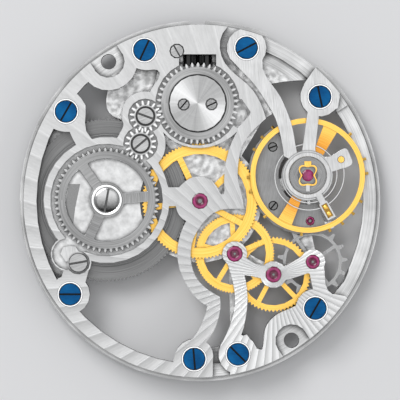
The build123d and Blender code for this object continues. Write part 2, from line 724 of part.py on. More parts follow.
def slotted_head(centre, top, radius, height, angle):
    head = rod(centre, radius, top - height, top)
    slot = bar(toward(centre, angle, 2 * radius), toward(centre, angle + 180, 2 * radius), SCREW_SLOT_WIDTH)
    return head - slab(slot, top - SCREW_SLOT_DEPTH, top + CUT_OVERRUN)


def screw(centre, top, radius, height, shank, bottom, angle):
    return slotted_head(centre, top, radius, height, angle) + rod(centre, shank, bottom, top - height)


def jewel(centre, radius, pivot, bottom, thickness):
    return slab(ring(centre, radius, pivot + PIVOT_FIT), bottom, bottom + thickness)


def stepped_arbor(centre, steps):
    """A turned arbor from (radius, bottom, top) steps."""
    solid = None
    for radius, bottom, top in steps:
        step = rod(centre, radius, bottom, top)
        solid = step if solid is None else solid + step
    return solid


MOVEMENT_CENTRE = at(PHOTO_CENTRE_PX)
BARREL_AXIS = at(BARREL_AXIS_PX)
CENTRE_AXIS = at(CENTRE_AXIS_PX)
THIRD_AXIS = at(THIRD_AXIS_PX)
FOURTH_AXIS = at(FOURTH_AXIS_PX)
ESCAPE_AXIS = at(ESCAPE_AXIS_PX)
PALLET_AXIS = at(PALLET_AXIS_PX)
BALANCE_AXIS = at(BALANCE_AXIS_PX)
CROWN_AXIS = at(CROWN_AXIS_PX)
FIRST_TRANSFER_AXIS = at(FIRST_TRANSFER_AXIS_PX)
SECOND_TRANSFER_AXIS = at(SECOND_TRANSFER_AXIS_PX)
CLICK_AXIS = at(CLICK_AXIS_PX)
STEM_X = CROWN_AXIS[0]

# Modules of each meshing pair
BARREL_MODULE = mesh_module(BARREL_AXIS_PX, CENTRE_AXIS_PX, BARREL_TEETH, CENTRE_PINION_LEAVES)
CENTRE_MODULE = mesh_module(CENTRE_AXIS_PX, THIRD_AXIS_PX, CENTRE_TEETH, THIRD_PINION_LEAVES)
THIRD_MODULE = mesh_module(THIRD_AXIS_PX, FOURTH_AXIS_PX, THIRD_TEETH, FOURTH_PINION_LEAVES)
FOURTH_MODULE = mesh_module(FOURTH_AXIS_PX, ESCAPE_AXIS_PX, FOURTH_TEETH, ESCAPE_PINION_LEAVES)
RATCHET_MODULE = mesh_module(BARREL_AXIS_PX, SECOND_TRANSFER_AXIS_PX, RATCHET_TEETH, TRANSFER_TEETH)
CROWN_MODULE = mesh_module(FIRST_TRANSFER_AXIS_PX, CROWN_AXIS_PX, TRANSFER_TEETH, CROWN_TEETH)
TRANSFER_MODULE = mesh_module(FIRST_TRANSFER_AXIS_PX, SECOND_TRANSFER_AXIS_PX, TRANSFER_TEETH, TRANSFER_TEETH)
MINUTE_MODULE = 2 * MINUTE_CENTRE_DISTANCE / (CANNON_LEAVES + MINUTE_TEETH)
HOUR_MODULE = 2 * MINUTE_CENTRE_DISTANCE / (MINUTE_PINION_LEAVES + HOUR_TEETH)

# Radii that recesses, rims and windows follow
RATCHET_TIP_RADIUS = tip_radius(RATCHET_MODULE, RATCHET_TEETH)
RATCHET_WINDOW_RADIUS = root_radius(RATCHET_MODULE, RATCHET_TEETH) - RATCHET_RIM_WIDTH
CROWN_TIP_RADIUS = tip_radius(CROWN_MODULE, CROWN_TEETH)
TRANSFER_TIP_RADIUS = tip_radius(TRANSFER_MODULE, TRANSFER_TEETH)
CENTRE_TIP_RADIUS = tip_radius(CENTRE_MODULE, CENTRE_TEETH)
CENTRE_RIM_INNER_RADIUS = root_radius(CENTRE_MODULE, CENTRE_TEETH) - CENTRE_RIM_WIDTH
THIRD_RIM_INNER_RADIUS = root_radius(THIRD_MODULE, THIRD_TEETH) - THIRD_RIM_WIDTH
FOURTH_TIP_RADIUS = tip_radius(FOURTH_MODULE, FOURTH_TEETH)
FOURTH_RIM_INNER_RADIUS = root_radius(FOURTH_MODULE, FOURTH_TEETH) - FOURTH_RIM_WIDTH
BARREL_TIP_RADIUS = tip_radius(BARREL_MODULE, BARREL_TEETH)
DRUM_RADIUS = root_radius(BARREL_MODULE, BARREL_TEETH) - BARREL_FLANGE_WIDTH
ESCAPE_TIP_RADIUS = distance(ESCAPE_AXIS_PX, PALLET_AXIS_PX) * math.cos(math.radians(PALLET_HALF_SPAN))
ESCAPE_RIM_OUTER_RADIUS = ESCAPE_TIP_RADIUS - ESCAPE_TOOTH_HEIGHT
ESCAPE_RIM_INNER_RADIUS = ESCAPE_RIM_OUTER_RADIUS - ESCAPE_RIM_WIDTH
BALANCE_RIM_INNER_RADIUS = BALANCE_RIM_OUTER_RADIUS - BALANCE_RIM_WIDTH
BALANCE_CLEAR_RADIUS = BALANCE_RIM_OUTER_RADIUS + BALANCE_SCREW_PROUD + SIDE_GAP
RATCHET_RECESS_RADIUS = RATCHET_TIP_RADIUS + RATCHET_RECESS_GAP
RATCHET_RING_RADIUS = RATCHET_RECESS_RADIUS + RATCHET_RING_WIDTH
CROWN_RECESS_RADIUS = CROWN_TIP_RADIUS + CROWN_RECESS_GAP
TRANSFER_RECESS_RADIUS = TRANSFER_TIP_RADIUS + TRANSFER_RECESS_GAP
CENTRE_CLEAR_RADIUS = CENTRE_TIP_RADIUS + SIDE_GAP
DRUM_CLEAR_RADIUS = DRUM_RADIUS + SIDE_GAP

# Stem line: crown-wheel edge, winding pinion and clutch, from the rim inwards
PINION_OUTER_Y = CROWN_AXIS[1] + CROWN_TIP_RADIUS + WINDING_PINION_REACH
PINION_INNER_Y = PINION_OUTER_Y - WINDING_PINION_LENGTH
CLUTCH_OUTER_Y = PINION_INNER_Y - WHEEL_GAP
CLUTCH_INNER_Y = CLUTCH_OUTER_Y - CLUTCH_LENGTH

# Dial-side axes: the minute wheel beside the cannon pinion, then two setting wheels on the stem line
MINUTE_AXIS = (STEM_X, math.sqrt(MINUTE_CENTRE_DISTANCE ** 2 - STEM_X ** 2))
SETTING_PITCH_RADIUS = MINUTE_MODULE * SETTING_TEETH / 2
SETTING_AXIS = (STEM_X, MINUTE_AXIS[1] + MINUTE_MODULE * MINUTE_TEETH / 2 + SETTING_PITCH_RADIUS)
INTERMEDIATE_AXIS = (STEM_X, SETTING_AXIS[1] + 2 * SETTING_PITCH_RADIUS)

# Tooth angles, so that each gear's teeth stand in its neighbour's gaps
CENTRE_PINION_PHASE = meshed_phase(bearing(BARREL_AXIS_PX, CENTRE_AXIS_PX), BARREL_TEETH, 0, CENTRE_PINION_LEAVES)
THIRD_PINION_PHASE = meshed_phase(bearing(CENTRE_AXIS_PX, THIRD_AXIS_PX), CENTRE_TEETH, 0, THIRD_PINION_LEAVES)
FOURTH_PINION_PHASE = meshed_phase(bearing(THIRD_AXIS_PX, FOURTH_AXIS_PX), THIRD_TEETH, 0, FOURTH_PINION_LEAVES)
ESCAPE_PINION_PHASE = meshed_phase(bearing(FOURTH_AXIS_PX, ESCAPE_AXIS_PX), FOURTH_TEETH, 0, ESCAPE_PINION_LEAVES)
SECOND_TRANSFER_PHASE = meshed_phase(
    bearing(BARREL_AXIS_PX, SECOND_TRANSFER_AXIS_PX), RATCHET_TEETH, 0, TRANSFER_TEETH)
FIRST_TRANSFER_PHASE = meshed_phase(
    bearing(SECOND_TRANSFER_AXIS_PX, FIRST_TRANSFER_AXIS_PX), TRANSFER_TEETH, SECOND_TRANSFER_PHASE, TRANSFER_TEETH)
CROWN_PHASE = meshed_phase(
    bearing(FIRST_TRANSFER_AXIS_PX, CROWN_AXIS_PX), TRANSFER_TEETH, FIRST_TRANSFER_PHASE, CROWN_TEETH)
MINUTE_BEARING = math.degrees(math.atan2(MINUTE_AXIS[1], MINUTE_AXIS[0]))
MINUTE_PHASE = meshed_phase(MINUTE_BEARING, CANNON_LEAVES, 0, MINUTE_TEETH)
MINUTE_PINION_PHASE = meshed_phase(MINUTE_BEARING, HOUR_TEETH, 0, MINUTE_PINION_LEAVES)
SETTING_PHASE = meshed_phase(90, MINUTE_TEETH, MINUTE_PHASE, SETTING_TEETH)
INTERMEDIATE_PHASE = meshed_phase(90, SETTING_TEETH, SETTING_PHASE, SETTING_TEETH)

CLAMP_HOLES = [toward(MOVEMENT_CENTRE, angle, CLAMP_CIRCLE_DIAMETER / 2) for angle in CLAMP_ANGLES]


def clamp_recess(index):
    """The notch, open at the rim, that a casing clamp sits in."""
    hole = CLAMP_HOLES[index]
    outward = toward(MOVEMENT_CENTRE, CLAMP_ANGLES[index], PLATE_RADIUS + CUT_OVERRUN)
    return opening(hole, CLAMP_RECESS_RADIUS) + bar(hole, outward, 2 * CLAMP_RECESS_RADIUS)


def stem_cut(width, inner_y, outer_y):
    return bar((STEM_X, inner_y), (STEM_X, outer_y), width)


def screw_places(table):
    return [((x, y), angle) for x, y, angle in table]


def bridge_bosses(table, radius):
    faces = [disc_at(point, radius) for point, _ in screw_places(table)]
    joined = faces[0]
    for face in faces[1:]:
        joined += face
    return joined


def crescent():
    """Outline of the pallet bridge: part of a ring round the balance axis, plus the pallet boss."""
    arc = ring(BALANCE_AXIS, PALLET_BRIDGE_OUTER_RADIUS, PALLET_BRIDGE_INNER_RADIUS)
    kept = arc & sector(BALANCE_AXIS, PALLET_BRIDGE_OUTER_RADIUS, *PALLET_BRIDGE_ANGLES)
    return kept - opening(ESCAPE_AXIS, ESCAPE_RIM_OUTER_RADIUS - SIDE_GAP) + disc(PALLET_AXIS, PALLET_BOSS_RADIUS)


def plate_low_webs():
    """Everything of the plate at web height: spokes, lobes and jewel bosses."""
    boss = TRAIN_BOSS_RADIUS
    webs = patch(PLATE_WEB_UNDER_TRANSFER_PX) + disc(THIRD_AXIS, boss) + disc(FOURTH_AXIS, boss)
    webs += disc(ESCAPE_AXIS, boss) + disc(PALLET_AXIS, boss) + disc(BALANCE_AXIS, LOWER_SHOCK_BOSS_RADIUS)
    webs += bar(at(PLATE_TO_THIRD_PX[0]), at(PLATE_TO_THIRD_PX[1]), PLATE_TO_THIRD_WIDTH)
    webs += bar(at(PLATE_TO_PALLET_PX[0]), at(PLATE_TO_PALLET_PX[1]), PLATE_TO_PALLET_WIDTH)
    webs += bar(THIRD_AXIS, FOURTH_AXIS, PLATE_WEB_WIDTH) + bar(FOURTH_AXIS, ESCAPE_AXIS, PLATE_WEB_WIDTH)
    for axis, (point, _) in zip((THIRD_AXIS, ESCAPE_AXIS), screw_places(TRAIN_BRIDGE_SCREWS_PX)):
        webs += bar(axis, at(point), PLATE_WEB_WIDTH)
    webs += crescent() + bar(BALANCE_AXIS, PALLET_AXIS, BALANCE_TO_PALLET_WIDTH)
    webs += bar(BALANCE_AXIS, toward(BALANCE_AXIS, BALANCE_WEB_ANGLE, PALLET_BRIDGE_OUTER_RADIUS), PLATE_WEB_WIDTH)
    return webs & disc(MOVEMENT_CENTRE, RIM_OUTER_RADIUS)


def plate_high():
    """The plate at bridge-seat height: rim, screw bosses, shoulder and stem block."""
    rim = ring(MOVEMENT_CENTRE, RIM_OUTER_RADIUS, RIM_INNER_RADIUS)
    high = rim + patch(PLATE_SHOULDER_PX) + patch(PLATE_STEM_BLOCK_PX) + patch(TRAIN_FOOT_PX)
    for table in (MAIN_BRIDGE_SCREWS_PX, BALANCE_BRIDGE_SCREWS_PX, TRAIN_BRIDGE_SCREWS_PX):
        high += bridge_bosses(table, SCREW_BOSS_RADIUS)
    high += openings(CLAMP_HOLES, CLAMP_RECESS_RADIUS)
    high -= opening(BARREL_AXIS, DRUM_CLEAR_RADIUS)
    return high & disc(MOVEMENT_CENTRE, RIM_OUTER_RADIUS)


def plate_holes(plate):
    """Screw, clamp, stem and pivot holes of the main plate."""
    for table in (MAIN_BRIDGE_SCREWS_PX, BALANCE_BRIDGE_SCREWS_PX, TRAIN_BRIDGE_SCREWS_PX):
        for point, _ in screw_places(table):
            plate -= bore(at(point), SCREW_SHANK_RADIUS, BRIDGE_SEAT - SCREW_DEPTH_IN_PLATE, BRIDGE_TOP)
    for place in CLAMP_HOLES:
        plate -= slab(true_disc(place, CLAMP_HOLE_RADIUS), -CUT_OVERRUN, BRIDGE_TOP)
    for point, _ in screw_places(PALLET_BRIDGE_SCREWS_PX):
        plate -= bore(at(point), SMALL_SHANK_RADIUS, DIAL_RECESS_DEPTH / 2, BRIDGE_TOP)
    for axis, radius in ((THIRD_AXIS, JEWEL_RADIUS), (FOURTH_AXIS, JEWEL_RADIUS), (ESCAPE_AXIS, JEWEL_RADIUS),
                         (PALLET_AXIS, PALLET_JEWEL_RADIUS), (BALANCE_AXIS, LOWER_SHOCK_BLOCK_RADIUS)):
        plate -= bore(axis, radius, -CUT_OVERRUN, WEB_TOP + CUT_OVERRUN)
    plate -= bore(CENTRE_AXIS, JEWEL_RADIUS, -CUT_OVERRUN, FLOOR_TOP + CUT_OVERRUN)
    plate -= bore(BARREL_AXIS, ARBOR_LOWER_RADIUS + RUNNING_FIT, -CUT_OVERRUN, DRUM_BOTTOM)
    plate -= bore(at(SETTING_LEVER_SCREW_PX), SMALL_SHANK_RADIUS, -CUT_OVERRUN, BRIDGE_TOP)
    return plate - stem_cylinder(STEM_BORE_RADIUS, PINION_OUTER_Y - CUT_OVERRUN, PLATE_RADIUS)


def barrel_floor():
    """The thin spokes and ledge that carry the lower end of the barrel arbor."""
    floor = disc(BARREL_AXIS, BARREL_BOSS_RADIUS)
    for angle in BARREL_SPOKE_ANGLES:
        floor += bar(BARREL_AXIS, toward(BARREL_AXIS, angle, DRUM_RADIUS + DRUM_WALL), BARREL_SPOKE_WIDTH)
    ledge = ring(BARREL_AXIS, DRUM_RADIUS + BARREL_LEDGE_WIDTH, DRUM_RADIUS - BARREL_LEDGE_INSET)
    floor += ledge & sector(BARREL_AXIS, DRUM_RADIUS + BARREL_LEDGE_WIDTH, *BARREL_LEDGE_ANGLES)
    return floor & disc(MOVEMENT_CENTRE, RIM_OUTER_RADIUS)


def plate_flange():
    """The thin outer step that the case holds, cut away beside the balance bridge and at the stem."""
    flange = ring(MOVEMENT_CENTRE, PLATE_RADIUS, RIM_INNER_RADIUS)
    flange -= ring(MOVEMENT_CENTRE, PLATE_RADIUS + CUT_OVERRUN, RIM_OUTER_RADIUS) & sector(
        MOVEMENT_CENTRE, PLATE_RADIUS, *PLATE_FLANGE_CUT_ANGLES)
    flange -= stem_cut(STEM_NOTCH_WIDTH, RIM_OUTER_RADIUS, PLATE_RADIUS + CUT_OVERRUN)
    return flange - opening(BARREL_AXIS, DRUM_CLEAR_RADIUS)


def wheel_clearances():
    """Room in the plate's high parts for the barrel teeth, the fourth wheel, the escape wheel and the balance."""
    rooms = bore(ESCAPE_AXIS, ESCAPE_TIP_RADIUS + SIDE_GAP, WEB_TOP, BRIDGE_TOP)
    rooms += bore(FOURTH_AXIS, FOURTH_TIP_RADIUS + SIDE_GAP, WEB_TOP, BRIDGE_TOP)
    rooms += bore(BARREL_AXIS, BARREL_TIP_RADIUS + SIDE_GAP, BARREL_TEETH_BOTTOM - SEAT_GAP,
                  BARREL_TEETH_TOP + SEAT_GAP)
    return rooms + bore(BALANCE_AXIS, BALANCE_CLEAR_RADIUS, LOW_RIM_TOP, BRIDGE_TOP)


def stem_room():
    """The flat where the stem enters the rim, and the slot that the winding pinion and clutch run in."""
    flat = stem_cut(STEM_NOTCH_WIDTH, RIM_OUTER_RADIUS - STEM_FLAT_DEPTH, PLATE_RADIUS)
    slot = stem_cut(2 * WINDING_PINION_RADIUS + SIDE_GAP, CLUTCH_INNER_Y - CLUTCH_TRAVEL - SIDE_GAP,
                    PINION_OUTER_Y + SEAT_GAP)
    return slab(flat + slot, -CUT_OVERRUN, BRIDGE_TOP)


def main_plate():
    webs = plate_low_webs() - opening(BARREL_AXIS, DRUM_CLEAR_RADIUS)
    floor = disc(CENTRE_AXIS, CENTRE_FLOOR_RADIUS) + patch(PLATE_KEYLESS_FLOOR_PX)
    floor -= opening(BARREL_AXIS, DRUM_CLEAR_RADIUS)
    low_rim = ring(MOVEMENT_CENTRE, PLATE_RADIUS, RIM_OUTER_RADIUS - LOW_RIM_WIDTH) & sector(
        MOVEMENT_CENTRE, PLATE_RADIUS, *LOW_RIM_ANGLES)
    plate = slab(plate_high(), 0, BRIDGE_SEAT) + slab(plate_flange(), 0, PLATE_FLANGE_HEIGHT)
    plate -= wheel_clearances()
    plate += slab(webs, 0, WEB_TOP)
    plate += slab(floor, 0, FLOOR_TOP)
    plate += slab(patch(PLATE_UPPER_RIGHT_PX), 0, 2 * WEB_TOP)
    plate += slab(patch(SMALL_PLATE_TRIANGLE_PX), 0, LOW_RIM_TOP)
    plate += slab(barrel_floor(), 0, BARREL_FLOOR_THICKNESS)
    plate -= slab(low_rim, LOW_RIM_TOP, BRIDGE_TOP)
    plate -= slab(dial_recess(), -CUT_OVERRUN, DIAL_RECESS_DEPTH)
    return plate_holes(plate - stem_room()) + dial_posts()


def dial_recess():
    """Pocket under the plate for the motion work, the setting wheels and the keyless levers."""
    pocket = opening(CENTRE_AXIS, tip_radius(HOUR_MODULE, HOUR_TEETH) + SIDE_GAP)
    pocket += opening(MINUTE_AXIS, tip_radius(MINUTE_MODULE, MINUTE_TEETH) + SIDE_GAP)
    for axis in (SETTING_AXIS, INTERMEDIATE_AXIS):
        pocket += opening(axis, tip_radius(MINUTE_MODULE, SETTING_TEETH) + SIDE_GAP)
    pocket += opening(at(YOKE_PIVOT_PX), YOKE_EYE_RADIUS + SIDE_GAP)
    (left, top), (right, bottom) = [at(point) for point in KEYLESS_POCKET_PX]
    return pocket + Pos((left + right) / 2, (top + bottom) / 2) * Rectangle(right - left, top - bottom)


def dial_posts():
    """Fixed posts that the dial-side wheels and levers turn on."""
    posts = rod(MINUTE_AXIS, MINUTE_POST_RADIUS, DIAL_FACE_GAP, DIAL_RECESS_DEPTH)
    for axis in (SETTING_AXIS, INTERMEDIATE_AXIS):
        posts += rod(axis, SETTING_POST_RADIUS, DIAL_FACE_GAP, DIAL_RECESS_DEPTH)
    posts += rod(at(YOKE_PIVOT_PX), YOKE_POST_RADIUS, DIAL_FACE_GAP, DIAL_RECESS_DEPTH)
    return posts


def main_bridge_outline():
    face = disc(MOVEMENT_CENTRE, RIM_OUTER_RADIUS) - patch(RIGHT_OF_MAIN_BRIDGE_PX)
    inside = disc(MOVEMENT_CENTRE, RIM_INNER_RADIUS)
    ratchet_ring = disc(BARREL_AXIS, RATCHET_RING_RADIUS) + disc_at(CLICK_LOBE_PX, CLICK_LOBE_RADIUS)
    clamp_boss = disc(CLAMP_HOLES[0], CLAMP_BOSS_RADIUS)
    bosses = bridge_bosses(MAIN_BRIDGE_SCREWS_PX, SCREW_BOSS_RADIUS)
    transfer_bosses = disc(FIRST_TRANSFER_AXIS, TRANSFER_BOSS_RADIUS) + disc(
        SECOND_TRANSFER_AXIS, TRANSFER_BOSS_RADIUS)
    click_neck = bar(CLICK_AXIS, at(CLICK_NECK_PX), CLICK_NECK_WIDTH) + disc(CLICK_AXIS, CLICK_BOSS_RADIUS)
    kept = ratchet_ring + clamp_boss + bosses + transfer_bosses + click_neck
    for window in (CENTRE_WINDOW_PX, LOWER_LEFT_WINDOW_PX, UPPER_LEFT_WINDOW_PX, LEFT_WINDOW_PX):
        face -= (patch(window) & inside) - kept
    return face - patch(CROWN_NOTCH_PX) - clamp_recess(0)


def stack(layers):
    """One solid from flat layers, each given as (face, bottom, top)."""
    solid = None
    for face, bottom, top in layers:
        layer = slab(face, bottom, top)
        solid = layer if solid is None else solid + layer
    return solid


def main_bridge():
    """Barrel and centre bridge in one, built in layers from its seat to its top face."""
    outline = main_bridge_outline() - opening(CENTRE_AXIS, JEWEL_RADIUS) - opening(BALANCE_AXIS, BALANCE_CLEAR_RADIUS)
    outline -= stem_cut(WINDING_SLOT_WIDTH, PINION_INNER_Y - SEAT_GAP, PINION_OUTER_Y + SEAT_GAP)
    screw_axes = [at(point) for point, _ in screw_places(MAIN_BRIDGE_SCREWS_PX)]
    small_axes = [FIRST_TRANSFER_AXIS, SECOND_TRANSFER_AXIS, CLICK_AXIS] + [at(point) for point in CROWN_SCREW_PX]
    lever_screw = opening(at(SETTING_LEVER_SCREW_PX), LEVER_SCREW_RADIUS + SEAT_GAP)
    centre_clear = opening(CENTRE_AXIS, CENTRE_CLEAR_RADIUS)
    wheels = opening(BARREL_AXIS, RATCHET_RECESS_RADIUS) + opening(CROWN_AXIS, CROWN_RECESS_RADIUS)
    recess = wheels + openings([FIRST_TRANSFER_AXIS, SECOND_TRANSFER_AXIS], TRANSFER_RECESS_RADIUS)
    recess += opening(at(CLICK_LOBE_PX), CLICK_LOBE_RADIUS - SIDE_GAP)
    recess += opening(CLICK_AXIS, CLICK_BODY_RADIUS + SEAT_GAP)
    drilled = openings(screw_axes, SCREW_SHANK_RADIUS) + openings(small_axes, SMALL_SHANK_RADIUS) + lever_screw
    drilled += opening(BARREL_AXIS, ARBOR_UPPER_RADIUS + RUNNING_FIT)
    low = outline - drilled - stem_cut(2 * CLUTCH_RADIUS, CLUTCH_INNER_Y - CLUTCH_TRAVEL - SIDE_GAP, PINION_OUTER_Y)
    middle = low - (wheels & centre_clear)
    high = outline - recess - lever_screw - openings(screw_axes, SCREW_SHANK_RADIUS)
    spring_floor = RECESS_FLOOR - CLICK_SPRING_THICKNESS
    head_seat = BRIDGE_TOP + SCREW_PROUD - SCREW_HEAD_HEIGHT
    return stack([
        (low - centre_clear, BRIDGE_SEAT, BRIDGE_POCKET_TOP),
        (middle, BRIDGE_POCKET_TOP, spring_floor),
        (middle - click_spring_face(), spring_floor, RECESS_FLOOR),
        (high, RECESS_FLOOR, head_seat),
        (high - openings(screw_axes, SCREW_HEAD_RADIUS + SEAT_GAP), head_seat, BRIDGE_TOP)])


def sink_screws(bridge, table, top):
    """Counterbores and clearance holes for the blued screws."""
    for point, _ in screw_places(table):
        seat = top + SCREW_PROUD - SCREW_HEAD_HEIGHT
        bridge -= bore(at(point), SCREW_HEAD_RADIUS + SEAT_GAP, seat, top + CUT_OVERRUN)
        bridge -= bore(at(point), SCREW_SHANK_RADIUS, 0, top)
    return bridge


def blued_screws(table, top):
    """One solid for each of a bridge's blued screws."""
    made = []
    for point, angle in screw_places(table):
        bottom = BRIDGE_SEAT - SCREW_DEPTH_IN_PLATE
        made.append(screw(at(point), top + SCREW_PROUD, SCREW_HEAD_RADIUS, SCREW_HEAD_HEIGHT,
                          SCREW_SHANK_RADIUS, bottom, angle))
    return made


def train_bridge():
    face = patch(TRAIN_ZIGZAG_PX) + disc(THIRD_AXIS, TRAIN_BOSS_RADIUS) + disc(FOURTH_AXIS, FOURTH_BOSS_RADIUS)
    face += disc(ESCAPE_AXIS, TRAIN_BOSS_RADIUS) + bridge_bosses(TRAIN_BRIDGE_SCREWS_PX, SCREW_BOSS_RADIUS)
    foot = (patch(TRAIN_FOOT_PX) + bridge_bosses(TRAIN_BRIDGE_SCREWS_PX, SCREW_BOSS_RADIUS)) & disc(
        MOVEMENT_CENTRE, RIM_OUTER_RADIUS)
    bridge = slab(face & disc(MOVEMENT_CENTRE, RIM_OUTER_RADIUS), TRAIN_ARM_BOTTOM, TRAIN_TOP)
    bridge += slab(foot, BRIDGE_SEAT, TRAIN_TOP)
    bridge -= slab(clamp_recess(1), 0, TRAIN_TOP + CUT_OVERRUN)
    for axis, radius in ((THIRD_AXIS, JEWEL_RADIUS), (FOURTH_AXIS, JEWEL_RADIUS), (ESCAPE_AXIS, ESCAPE_JEWEL_RADIUS)):
        bridge -= bore(axis, radius, 0, TRAIN_TOP + CUT_OVERRUN)
    return sink_screws(bridge, TRAIN_BRIDGE_SCREWS_PX, TRAIN_TOP)


def balance_bridge():
    arms = patch(BALANCE_LEFT_ARM_PX) + patch(BALANCE_RIGHT_ARM_PX) + disc(BALANCE_AXIS, BALANCE_BRIDGE_HUB_RADIUS)
    feet = bridge_bosses(BALANCE_BRIDGE_SCREWS_PX, SCREW_BOSS_RADIUS)
    head = patch(BALANCE_HEAD_PX)
    inside = disc(MOVEMENT_CENTRE, RIM_OUTER_RADIUS)
    bridge = slab((arms + head + feet) & inside, BALANCE_BRIDGE_BOTTOM, BRIDGE_TOP)
    under = ((feet + head) & inside) - opening(BALANCE_AXIS, BALANCE_CLEAR_RADIUS)
    bridge += slab(under, BRIDGE_SEAT, BRIDGE_TOP)
    bridge -= bore(BALANCE_AXIS, SHOCK_BLOCK_RADIUS, 0, BRIDGE_TOP + CUT_OVERRUN)
    return sink_screws(bridge, BALANCE_BRIDGE_SCREWS_PX, BRIDGE_TOP)


def pallet_bridge():
    bridge = slab(crescent(), PALLET_BRIDGE_BOTTOM, PALLET_BRIDGE_TOP)
    for point, _ in screw_places(PALLET_BRIDGE_SCREWS_PX):
        bridge += rod(at(point), PALLET_FOOT_RADIUS, WEB_TOP, PALLET_BRIDGE_TOP)
        bridge -= bore(at(point), PALLET_SCREW_RADIUS + SEAT_GAP, PALLET_BRIDGE_TOP - SMALL_HEAD_HEIGHT, BRIDGE_TOP)
        bridge -= bore(at(point), SMALL_SHANK_RADIUS, 0, BRIDGE_TOP)
    return bridge - bore(PALLET_AXIS, PALLET_JEWEL_RADIUS, 0, BRIDGE_TOP)


def pallet_bridge_screws():
    return [screw(at(p), PALLET_BRIDGE_TOP, PALLET_SCREW_RADIUS, SMALL_HEAD_HEIGHT, SMALL_SHANK_RADIUS,
                  DIAL_RECESS_DEPTH / 2, angle) for p, angle in screw_places(PALLET_BRIDGE_SCREWS_PX)]


def upper_train_jewels():
    places = [(CENTRE_AXIS, JEWEL_RADIUS, CENTRE_PIVOT_RADIUS, BRIDGE_TOP),
              (THIRD_AXIS, JEWEL_RADIUS, TRAIN_PIVOT_RADIUS, TRAIN_TOP),
              (FOURTH_AXIS, JEWEL_RADIUS, TRAIN_PIVOT_RADIUS, TRAIN_TOP),
              (ESCAPE_AXIS, ESCAPE_JEWEL_RADIUS, TRAIN_PIVOT_RADIUS, TRAIN_TOP)]
    return [jewel(axis, radius, pivot, top - JEWEL_THICKNESS, JEWEL_THICKNESS) for axis, radius, pivot, top in places]


def lower_train_jewels():
    places = [(CENTRE_AXIS, TRAIN_ARBOR_RADIUS + CENTRE_PIVOT_RADIUS, FLOOR_TOP - JEWEL_THICKNESS),
              (THIRD_AXIS, TRAIN_PIVOT_RADIUS, SEAT_GAP), (FOURTH_AXIS, TRAIN_PIVOT_RADIUS, SEAT_GAP),
              (ESCAPE_AXIS, TRAIN_PIVOT_RADIUS, SEAT_GAP)]
    return [jewel(axis, JEWEL_RADIUS, pivot, bottom, JEWEL_THICKNESS) for axis, pivot, bottom in places]


def pallet_jewels():
    upper = PALLET_BRIDGE_TOP - PALLET_JEWEL_THICKNESS
    return [jewel(PALLET_AXIS, PALLET_JEWEL_RADIUS, TRAIN_PIVOT_RADIUS, bottom, PALLET_JEWEL_THICKNESS)
            for bottom in (SEAT_GAP, upper)]


def upper_shock_block():
    top = BRIDGE_TOP + CARRIER_THICKNESS
    block = rod(BALANCE_AXIS, SHOCK_BLOCK_RADIUS, top - SHOCK_BLOCK_HEIGHT, top)
    block -= bore(BALANCE_AXIS, SHOCK_SEAT_RADIUS, top - SHOCK_SEAT_DEPTH, top + CUT_OVERRUN)
    return block - bore(BALANCE_AXIS, BALANCE_JEWEL_RADIUS, 0, top)


def lower_shock_block():
    block = rod(BALANCE_AXIS, LOWER_SHOCK_BLOCK_RADIUS, SEAT_GAP, WEB_TOP)
    block -= bore(BALANCE_AXIS, SHOCK_SEAT_RADIUS, 0, SEAT_GAP + SHOCK_SEAT_DEPTH)
    return block - bore(BALANCE_AXIS, BALANCE_JEWEL_RADIUS, 0, WEB_TOP + CUT_OVERRUN)


UPPER_SHOCK_TOP = BRIDGE_TOP + CARRIER_THICKNESS - SHOCK_SEAT_DEPTH
LOWER_SHOCK_BOTTOM = SEAT_GAP + SHOCK_SEAT_DEPTH


def balance_jewels():
    """Pierced jewel under each cap jewel, above and below the staff."""
    hole_jewels = [jewel(BALANCE_AXIS, BALANCE_JEWEL_RADIUS, STAFF_PIVOT_RADIUS, bottom, CAP_JEWEL_THICKNESS)
                   for bottom in (UPPER_SHOCK_TOP - 2 * CAP_JEWEL_THICKNESS, LOWER_SHOCK_BOTTOM + CAP_JEWEL_THICKNESS)]
    caps = [rod(BALANCE_AXIS, BALANCE_JEWEL_RADIUS, bottom, bottom + CAP_JEWEL_THICKNESS)
            for bottom in (UPPER_SHOCK_TOP - CAP_JEWEL_THICKNESS, LOWER_SHOCK_BOTTOM)]
    return hole_jewels + caps


def shock_spring(bottom):
    """A lobed ring: the inner edge swings in and out once per lobe."""
    steps = 4 * SHOCK_LOBES
    outer, inner = [], []
    for i in range(steps):
        radius = SHOCK_SPRING_RADIUS * (1 - SHOCK_LOBE_SHARE * (i % 4 == 0))
        outer.append(toward(BALANCE_AXIS, i * 360 / steps, radius))
        inner.append(toward(BALANCE_AXIS, i * 360 / steps, radius - SHOCK_SPRING_WIDTH))
    face = make_face(Polyline(*outer, close=True)) - make_face(Polyline(*inner, close=True))
    return slab(face, bottom, bottom + SHOCK_SPRING_THICKNESS)


def spoked_gear(centre, teeth, module, bottom, thickness, rim, width, angle, hub, seat):
    windows = spoke_windows(centre, hub, rim, TRAIN_SPOKES, angle, width)
    windows.append(bore_wire(centre, seat))
    return gear(centre, teeth, module, 0, bottom, bottom + thickness, windows, FINE_TOOTH_SHARES)


